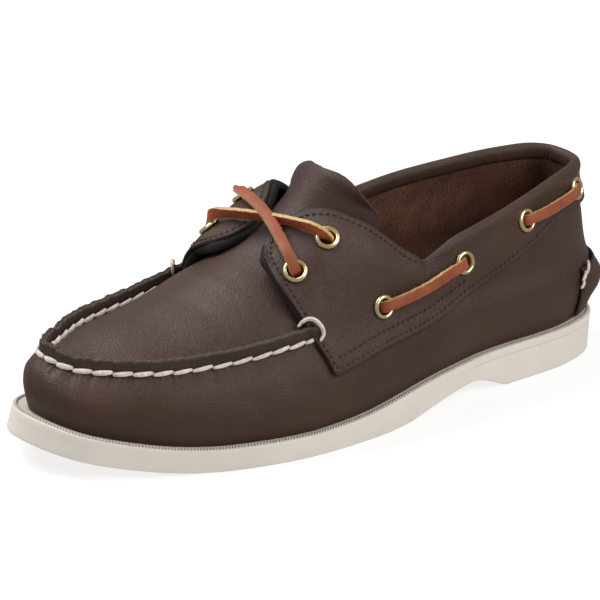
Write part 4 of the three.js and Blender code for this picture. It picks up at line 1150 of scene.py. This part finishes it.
THROAT = columns("base rise", [(0.414, 0.69), (0.452, 0.8)])
COLLAR = columns("base rise", [(0.505, 0.523), (0.647, 0.604), (0.763, 0.689), (0.892, 0.723)])
NAMED = [(THROAT, ("throat_{}_lower", "throat_{}_upper")),
         (COLLAR, ("collar_{}_1", "collar_{}_2", "collar_{}_3", "collar_{}_4"))]
EYELETS = {}
for side, side_name in ((1, "lateral"), (-1, "medial")):
    for rows, names in NAMED:
        points, turned = spots(side, rows["base"], rows["rise"] * INSTEP_HEIGHT)
        EYELETS.update({name.format(side_name): (p, h) for name, p, h in zip(names, points, turned)})
print("eyelets:", len(EYELETS))

# %% [markdown]
# The inner wing's front border is free, and its weight and the pull of the lace lay it down on the plug.
# Every point near the border is moved by one small vector, less with distance, and hardly at all near the
# eyelets, because the lace holds the leather there.

# %% Sag of the inner wing's border
inner_front = rib(-1, np.array([SEAM_END]))
border = np.concatenate([follow(inner_front, np.linspace(0.55, 1, 30)[None])[0],
                         level(TOP, INSTEP_HEIGHT, -1, np.linspace(SEAM_END, 0.44, 25))])
SAG = np.array([0.3, -2.4, -3.6])


def sagged(points):
    """The free border of the inner wing sags onto the plug: less with distance, and not at an eyelet."""
    away = np.sqrt(((points[..., None, :] - border) ** 2).sum(-1)).min(-1)
    share = np.exp(-(away / 6.0) ** 2)
    for name in ("throat_medial_lower", "throat_medial_upper"):
        share = share * smooth_step((np.linalg.norm(points - EYELETS[name][0], axis=-1) - 4.5) / 4.5)
    return points + share[..., None] * SAG


print("points along the border:", len(border))

# %% [markdown]
# The band and the wings are one sheet over the wall. Round each eyelet the leather is drawn in, and under
# the eyelet's barrel it is pressed right down. Its lower edge is turned under, so it is a little thicker.

# %% Band and wings
band_bases = np.concatenate([np.linspace(SEAM_END, ROLL_END, 130, endpoint=False),
                             np.linspace(ROLL_END, 1, 120)])
band_shares = np.linspace(0, 1, 40)


def band_rows(side, base):
    """Rows from the band's lower edge to the top edge."""
    line = rib(side, base)
    split = share_at(line, COLLAR_HEIGHT * read(BAND, "rise", base))[:, None]
    return follow(line, split + (1 - split) * band_shares[None])


band = sagged(soften(round_heel(band_rows, band_bases), 1.2))
surface_of_band = band + headings(band) * (FIT + OVERLAY)
dimples = np.zeros(band.shape[:2])
for point, head in EYELETS.values():
    away = np.linalg.norm(surface_of_band - point, axis=2)
    dimples += -0.45 * np.exp(-(away / 6.5) ** 2) - 1.3 * smooth_step((3.9 - away) / 0.8)
dimples += 0.45 * np.exp(-(travelled(band, 1) / 1.6) ** 2)
piece("band_and_wings", **thick(band, FIT - 0.25, FIT + OVERLAY + dimples, rim=0.9), material=TRIM,
      slot="leather", stands_for=["eyestay_and_band"])

# %% [markdown]
# The black sheet under each wing starts a little above the seam and stands out past the wing's border.
# It has a wide rounded rim, because a thick cut edge wears round. Its black is partly the raw edge and
# partly painted shadow, the shade that falls under the border.

# %% Raw edge and painted shadow under the wings
wing_bases = np.linspace(SEAM_END + 0.0005, NOTCH + 0.004, 90)
for side, name in ((1, "lateral"), (-1, "medial")):
    bases = wing_bases if side > 0 else wing_bases[::-1]
    line = rib(side, bases)
    foot = share_at(line, COLLAR_HEIGHT * read(SEAM, "rise", bases) + 3)[:, None]
    rows = sagged(soften(follow(line, foot + (1 - foot) * np.linspace(0, 1, 30)[None]), 1.2))
    # The sheet is thick, more so on the inner side, so that its black paints the shadow under the border too.
    inner = -3.2 if side > 0 else -4.2
    piece(f"black_edge_and_shadow_{name}", **thick(rows, inner, 0.35, rim=1.9), material=BLACK_EDGE_AND_SHADE, slot="leather")

# %% [markdown]
# ## Padded collar
#
# The collar is leather folded over a strip of foam. Its section is a soft arch: it leaves the band's outer
# face without a step, goes over the top and comes down inside on to the lining.

# %% Collar roll
roll_bases = np.linspace(NOTCH + 0.006, 1, 170)
roll_line = round_heel(lambda side, base: level(TOP, INSTEP_HEIGHT, side, base), roll_bases)
roll_line = soften(roll_line, 2.5)
top_rows = round_heel(lambda side, base: follow(rib(side, base), np.array([[0.9, 1.0]])), roll_bases)
outward = unit(np.cross(np.gradient(roll_line, axis=0) * [1, 1, 0], [0, 0, 1.0]))
down = unit(soften(top_rows[:, 0] - top_rows[:, 1], 2.5))
ROLL_PROFILE = np.array([
    (0.9, -7.0), (1.5, -5.2), (1.95, -3.4), (2.35, -1.6), (2.75, 0.4), (2.95, 2.2), (2.7, 4.1), (1.9, 5.5),
    (0.7, 6.3), (-0.7, 6.35), (-2.0, 5.6), (-2.85, 4.1), (-3.1, 2.2), (-3.05, 0.2), (-2.8, -1.2), (-2.1, -2.1),
    (-1.2, -2.5), (-0.5, -4.0), (0.0, -6.0),
])
fine = closed_curve(ROLL_PROFILE, 48)
gone = arc(roll_line)
start = smooth_step((np.minimum(gone, gone[-1] - gone) + 3) / 26)
size = (0.28 + 0.6 * start)[:, None]
join = np.exp(-((gone - gone[-1] * 0.535) / 2.6) ** 2)
gathered = (1 - (0.16 + 0.14 * np.sin(2.2 * gone)) * join)[:, None]
out_by, up_by = fine[None, :, 0] * size * gathered, fine[None, :, 1]
up_by = np.where(up_by > -1, (up_by + 1) * size - 1, up_by)
roll = roll_line[:, None] + outward[:, None] * out_by[..., None] + np.maximum(up_by, 0)[..., None] * [0, 0, 1.0]
roll = capped(roll + np.maximum(-up_by, 0)[..., None] * down[:, None])
roll_faces = quads(*roll.shape[:2], wrap_cols=True)[:, ::-1]
collar_roll = piece("collar_roll_leather", roll.reshape(-1, 3), roll_faces, TRIM, "leather", ["collar_roll"],
                    uv=along_and_round(roll, fine), layers={"edge": np.zeros(roll[..., 0].size)}, crease=80)

# %% [markdown]
# Low on the back of the heel a small panel stands off the wall. It is a grid on the wall, lifted by a
# table of shares up its height and by a quarter of a sine from its front edge.

# %% Heel lip
LIP = columns("rise share", [(0, 0.3), (0.25, 0.5), (0.55, 0.95), (0.75, 1), (0.92, 0.6), (1, 0.35)])
LIP_FRONT = LIP_START - 0.047
lip_bases = np.linspace(LIP_FRONT, 1, 60)
lip_rise = np.linspace(0, 1, 30)


def lip_rows(side, base):
    """Rows on the wall between the lip's foot and its top."""
    line = rib(side, base)
    foot = line[0][:, 0, 2] + LIP_FOOT
    columns_up = [follow(line, share_at(line, foot + (LIP_TOP - foot) * v)[:, None]) for v in lip_rise]
    return np.concatenate(columns_up, 1)


lip = round_heel(lip_rows, lip_bases)
lip_base = np.concatenate([lip_bases, lip_bases[::-1][1:]])
fade = np.sin(np.pi / 2 * np.minimum(2 * (lip_base - LIP_FRONT) / (1 - LIP_FRONT), 1))[:, None]
stand = LIP_STAND * (0.3 + (read(LIP, "share", lip_rise, "rise")[None] - 0.3) * fade)
piece("heel_lip_leather", **thick(lip, FIT - 0.2, FIT + stand, rim=2.0), material=TRIM, slot="leather",
      stands_for=["heel_lip"])

# %% [markdown]
# ## Eyelets
#
# A brass eyelet is a tube whose rim has been rolled outwards over the leather. It is a closed profile
# turned round its axis, and one profile serves all twelve.

# %% Brass eyelets
EYELET_PROFILE = closed_curve(np.array([
    (3.15, -3.6), (3.15, -1.2), (3.25, 0.2), (3.5, 1.0), (4.05, 1.45), (4.7, 1.35), (5.2, 0.85),
    (5.4, 0.2), (5.2, -0.3), (4.4, -0.4), (3.8, -0.6), (3.6, -1.6), (3.55, -3.6), (3.35, -3.9),
]), 40)
angles = np.linspace(0, 2 * np.pi, 48, endpoint=False)


def frame_of(head):
    """Two directions square to a head."""
    first = unit(np.cross(head, [0, 0, 1.0] if abs(head[2]) < 0.9 else [0, 1.0, 0]))
    return first, np.cross(head, first)


for name, (point, head) in EYELETS.items():
    first, second = frame_of(head)
    ray = np.cos(angles)[:, None] * first + np.sin(angles)[:, None] * second
    ring = point + EYELET_PROFILE[None, :, :1] * ray[:, None] + EYELET_PROFILE[None, :, 1:] * head
    piece(f"brass_{name}", ring.reshape(-1, 3), quads(*ring.shape[:2], True, True), BRASS, "brass",
          [f"eyelet_{name}"])

# %% [markdown]
# ## Lace
#
# The lace is a flat strip cut from thick leather: one smooth orange face, and rough pale edges and back.
# On each side it comes up out of one eyelet and goes down into the next. The two straps over the tongue
# cross, the upper one lying flat and the lower one standing on its edge.

# %% A strip along a line
def smooth_line(points, count):
    """An open line through points, a cubic on each span with knots apart by the root of the distance."""
    points = np.asarray(points, float)
    knots = np.concatenate([[0], np.cumsum(np.linalg.norm(np.diff(points, axis=0), axis=1) ** 0.5)])
    dense = follow((points[None], knots[None]), np.linspace(0, 1, 600)[None])[0]
    far = arc(dense)
    at = np.linspace(0, far[-1], count)
    return np.stack([np.interp(at, far, dense[:, k]) for k in range(3)], 1)


LACE_WIDE, LACE_THICK = 4.7, 2.0
corner = np.array([(1, 0), (0.92, 0.38), (0.71, 0.71), (0.38, 0.92), (0, 1)])
half = np.array([LACE_WIDE / 2, LACE_THICK / 2])
quarter = [corner * 0.3 + (half - 0.3), corner[::-1] * [-0.3, 0.3] + (half - 0.3) * [-1, 1]]
section = np.concatenate([*quarter, -quarter[0], -quarter[1]])
roughness_of = 1 - smooth_step((section[:, 1] - 0.72) / 0.2)


def strap(name, points, faces_to, stands_for=(), count=110):
    """A flat strip along a line. Its smooth face turns to given directions on the way."""
    line = smooth_line(points, count)
    tangent = unit(np.gradient(line, axis=0))
    share = arc(line) / arc(line)[-1]
    stops = np.linspace(0, 1, len(faces_to))
    face = np.stack([np.interp(share, stops, np.asarray(faces_to)[:, k]) for k in range(3)], 1)
    face = unit(face - tangent * (face * tangent).sum(1, keepdims=True))
    wide = np.cross(tangent, face)
    ragged = 1 + 0.05 * wobble(arc(line), (2.3, 0.5), (1.1, 0.4), (5.7, 0.6))
    across = section[None, :, :1] * ragged[:, None, None]
    body = capped(line[:, None] + across * wide[:, None] + section[None, :, 1:] * face[:, None])
    piece(name, body.reshape(-1, 3), quads(*body.shape[:2], wrap_cols=True), LACE, "lace", stands_for,
          uv=along_and_round(body, section), layers={"rough": np.tile(roughness_of, len(body))}, crease=75)
    print(f"  {arc(line)[-1]:.0f} mm long")


def through(start, end, lift=2.95, sink=3.4):
    """Points of a strap out of one eyelet, over its rim, and the same backwards into the other."""
    sides = []
    for (point, head), (other, _) in ((EYELETS[start], EYELETS[end]), (EYELETS[end], EYELETS[start])):
        towards = other - point
        towards = unit(towards - head * (towards @ head))
        sides.append([point - sink * head - 0.6 * towards, point + 0.4 * head - 0.1 * towards,
                      point + (lift - 0.35) * head + 3.2 * towards,
                      point + (lift + 0.4) * head + 7.2 * towards])
    return sides[0], sides[1][::-1]


# %% The two crossing straps
up, into = through("throat_lateral_lower", "throat_medial_upper")
crest = (np.array(up[-1]) + np.array(into[0])) / 2 + [0, 0, 4.6]
head_a, lies_flat = EYELETS["throat_lateral_lower"][1], np.array([0.786, -0.36, 0.495])
strap("lace_over", up + [crest] + into, [head_a, lies_flat, lies_flat, lies_flat, [0.1, -0.3, 0.95]],
      ["lace_cross"])
up, into = through("throat_medial_lower", "throat_lateral_upper")
crest = (np.array(up[-1]) + np.array(into[0])) / 2 + [0, 0, 1.9]
head_a, head_b = EYELETS["throat_medial_lower"][1], EYELETS["throat_lateral_upper"][1]
on_edge = np.array([0.25, -0.9, -0.5])
strap("lace_under", up + [crest] + into, [head_a, on_edge, on_edge, on_edge, head_b * 0.4 + on_edge * 0.6])

# %% [markdown]
# Beside the collar the lace lies along the band between two eyelets. Its places in between are found on
# the band like the eyelets themselves and lifted clear of the leather.

# %% The bars along the collar
for side, side_name in ((1, "lateral"), (-1, "medial")):
    for part, first, last in (("front", 0, 1), ("rear", 2, 3)):
        bases = np.linspace(COLLAR["base"][first], COLLAR["base"][last], 5)
        rises = np.linspace(COLLAR["rise"][first], COLLAR["rise"][last], 5) * INSTEP_HEIGHT
        points, turned = spots(side, bases, rises)
        up, into = through(f"collar_{side_name}_{first + 1}", f"collar_{side_name}_{last + 1}", lift=2.2)
        between = [p + 3.1 * h for p, h in zip(points[1:-1], turned[1:-1])]
        strap(f"lace_{side_name}_{part}_bar", up[:3] + between + into[1:], list(turned),
              [f"lace_{side_name}_{part}"])

# %% [markdown]
# ## Saddle stitches
#
# The ridge is sewn with waxed thread as thick as string. Each stitch is a short fat strand that comes out
# of one hole, lies along the leather and dives into the next, a little aslant. They are swept together as
# one array: thirteen places along each stitch and ten points round.

# %% Thick cream stitches
def strands(starts, ends, bulge, radius, flat=0.75, places=13, around=10, dive=0.9):
    """Many short strands at once: straight from start to end, lifted by a bulge with the shape of a
    flattened sine, thin at both ends. Returns points and faces."""
    t = np.linspace(0, 1, places)[None, :, None]
    lift = np.sin(np.pi * t) ** 0.55 * (1 + dive) - dive
    line = starts[:, None] * (1 - t) + ends[:, None] * t + bulge[:, None] * lift
    tangent = unit(np.gradient(line, axis=1))
    face = unit(bulge[:, None] - tangent * (bulge[:, None] * tangent).sum(-1, keepdims=True))
    wide = np.cross(tangent, face)
    turn = np.linspace(0, 2 * np.pi, around, endpoint=False)
    size = np.reshape(radius, (-1, 1, 1)) * (0.4 + 0.6 * np.sin(np.pi * t) ** 0.5)
    size = size * np.concatenate([[0], np.ones(places - 2), [0]])[None, :, None]
    body = (line[:, :, None] + (size * np.cos(turn))[..., None] * wide[:, :, None]
            + (size * np.sin(turn) * flat)[..., None] * face[:, :, None])
    cells = quads(places, around, wrap_cols=True)
    faces = (cells[None] + (np.arange(len(starts)) * places * around)[:, None, None]).reshape(-1, 4)
    far = np.broadcast_to(np.linspace(0, 8, places)[None, :, None], body.shape[:3])
    uv = np.stack([far, np.broadcast_to(turn, body.shape[:3])], -1).reshape(-1, 2)
    return body.reshape(-1, 3), faces, uv


def seam_point(side, distance, inward_by, rise):
    """A point at a distance along the seam, moved towards the plug and up."""
    base = np.interp(distance, SEAM_ARC[side], seam_bases)
    here = level(SEAM, COLLAR_HEIGHT, side, base)
    ahead, behind = (level(SEAM, COLLAR_HEIGHT, side, b) for b in (base + 0.002, np.maximum(base - 0.002, 0)))
    step = ahead - behind
    to_plug = unit(np.cross(side * step * [1, 1, 0], [0, 0, -1.0]))
    return here + to_plug * inward_by + np.array([0, 0, 1.0]) * np.reshape(rise, (-1, 1)), to_plug


# face of the ridge, distance from the seam, direction, rise at both ends, and radius, all in mm
SEWN = [("wall_face", -0.15, -1, 0.0, 1.0, 0.90), ("plug_face", 4.3, 1, 0.8, 2.0, 1.05)]
for side, name in ((1, "outer_side"), (-1, "inner_side")):
    holes = HOLES[side]
    for face, inset, sign, low, high, thick_by in SEWN:
        uneven = wobble(holes[:-1], (19.0, 0.5), (7.7, 0.5))
        low_end, out_way = seam_point(side, holes[:-1] - 0.2, inset, low + 0.15 * uneven)
        high_end, _ = seam_point(side, holes[1:] + 0.5, inset, high + 0.2 * uneven)
        stout = thick_by * (1 + 0.34 * np.exp(-(holes[:-1] / 42) ** 2) + 0.05 * uneven)
        points, faces, uv = strands(low_end, high_end, sign * out_way * 0.6 + [0, 0, 0.1], stout)
        piece(f"stitches_{face}_{name}", points, faces, THREAD, "lace", uv=uv, crease=80)

# %% [markdown]
# At each end of the seam the last stitch goes right over the ridge. It is one strand along a smooth line,
# through places given by the distance from the ridge's end, the way in towards the plug, and the rise.

# %% The last stitch loops over the ridge's end
def rope(path, radius, count=40, around=12):
    """One strand along a smooth line: circles square to it, drawn in at both ends."""
    line = smooth_line(path, count)
    tangent = unit(np.gradient(line, axis=0))
    first = unit(np.cross(tangent, [0.3, 0.2, 1.0]))
    second = np.cross(tangent, first)
    turn = np.linspace(0, 2 * np.pi, around, endpoint=False)
    size = radius * np.sin(np.pi * np.linspace(0, 1, count)) ** 0.25
    size[[0, -1]] = 0
    body = line[:, None] + size[:, None, None] * (
        np.cos(turn)[None, :, None] * first[:, None] + np.sin(turn)[None, :, None] * second[:, None])
    uv = np.stack(np.broadcast_arrays(arc(line)[:, None], turn[None]), -1).reshape(-1, 2)
    return body.reshape(-1, 3), quads(count, around, wrap_cols=True), uv


LOOP_TURNS = {
    1: [(-8.8, 3.7, 6.2), (-6.9, 3.2, 8.4), (-4.9, 2.0, 9.6), (-3.0, 0.8, 9.5),
        (-1.6, -0.6, 8.4), (-0.3, -2.2, 6.2), (0.2, -3.0, 3.2), (-1.4, -2.8, 0.1)],
    -1: [(-13.5, 4.4, 3.8), (-13.9, 4.6, 6.3), (-14.0, 4.2, 8.5), (-11.9, 1.5, 8.7),
         (-9.6, -0.9, 7.4), (-8.1, -2.6, 5.0), (-7.3, -3.0, 2.2), (-7.8, -2.6, 0.2)],
}
for side, name in ((1, "outer_side"), (-1, "inner_side")):
    stop = float(np.interp(RIDGE_STOP, seam_bases, SEAM_ARC[side]))
    path = np.concatenate([seam_point(side, np.array([stop + past]), inset, [rise])[0]
                           for past, inset, rise in LOOP_TURNS[side]])
    points, faces, uv = rope(path, 0.9)
    piece(f"end_loop_{name}", points, faces, THREAD, "lace", uv=uv, crease=80)

# %% [markdown]
# ## Fine stitching
#
# The wings and the band are topstitched with dark thread two millimetres inside their edges. A row is a
# line on the band's outer face; small strands of two millimetres with short gaps follow it.

# %% Rows of dark stitches
outer_heads = headings(band)
face_points, face_heads = surface_of_band.reshape(-1, 3), outer_heads.reshape(-1, 3)


def on_face(points):
    """Points dropped on to the band's outer face, with the direction outwards, by the nearest grid point."""
    gaps = ((points[:, None] - face_points[None]) ** 2).sum(-1)
    nearest = gaps.argmin(1)
    head = face_heads[nearest]
    return points - head * ((points - face_points[nearest]) * head).sum(1, keepdims=True), head


def stitch_row(line, pitch=2.9, length=2.1):
    """Starts and ends of stitches along a line, and the outward direction at each."""
    far = arc(line)
    starts = np.arange(0.6, far[-1] - length, pitch)

    def point_at(distance):
        """Points of the line at distances along it."""
        return np.stack([np.interp(distance, far, line[:, k]) for k in range(3)], 1)

    first, head = on_face(point_at(starts))
    last, _ = on_face(point_at(starts + length))
    return first, last, head


def moved_in(line, heads, distance, towards):
    """A line moved inside its edge, square to itself along the leather."""
    sideways = unit(np.cross(unit(np.gradient(line, axis=0)), heads))
    sign = np.sign(((towards - line) * sideways).sum(1).mean())
    return line + sign * sideways * distance


half_count = len(band_bases)
notch_index = int(np.searchsorted(band_bases, NOTCH))
parts = [[], [], []]
for side in (1, -1):
    mine = slice(0, half_count) if side > 0 else slice(len(band) - 1, half_count - 2, -1)
    grid, heads = surface_of_band[mine], outer_heads[mine]
    wing, wing_heads = (np.concatenate([g[0, 1:], g[1:notch_index, -1]]) for g in (grid, heads))
    middle_row = grid[:, 20]
    second = moved_in(grid[:, 0], heads[:, 0], 6.6, middle_row)
    start, end = (int(np.searchsorted(band_bases, base)) for base in (0.424, 0.66))
    for row in (moved_in(wing, wing_heads, 2.2, middle_row[30]),
                moved_in(grid[:, 0], heads[:, 0], 2.0, middle_row), second[start:end]):
        for bucket, values in zip(parts, stitch_row(soften(row, 1.5))):
            bucket.append(values)
first, last, head = (np.concatenate(bucket) for bucket in parts)
points, faces, uv = strands(first, last, head * 0.24, 0.46, flat=0.8, places=6, around=6, dive=1.0)
piece("fine_stitches", points, faces, DARK_THREAD, "leather", uv=uv, crease=80)
print("fine stitches:", len(first))

# %% [markdown]
# Just in front of the heel lip three cream stitches hold its edge. They are placed on the wall by base
# and share and lifted clear of it, and swept with the same function as the rest.

# %% Three stitches before the heel lip
def on_lip(base, share, lift):
    """Points above the wall near the lip's front edge, with the direction outwards."""
    here = follow(rib(1, base), share[:, None])[:, 0]
    turn = follow(rib(1, base + 0.01), share[:, None])[:, 0] - here
    up = follow(rib(1, base), share[:, None] + 0.02)[:, 0] - here
    head = unit(np.cross(turn, up))
    return here + lift * head, head


starts, head = on_lip(np.array([0.888, 0.875, 0.869]), np.array([0.435, 0.375, 0.325]), 2.5)
ends, _ = on_lip(np.array([0.877, 0.865, 0.862]), np.array([0.350, 0.325, 0.275]), 2.5)
points, faces, uv = strands(starts, ends, head * 0.5, 1.0)
piece("heel_stitches", points, faces, THREAD, "lace", uv=uv, crease=80)
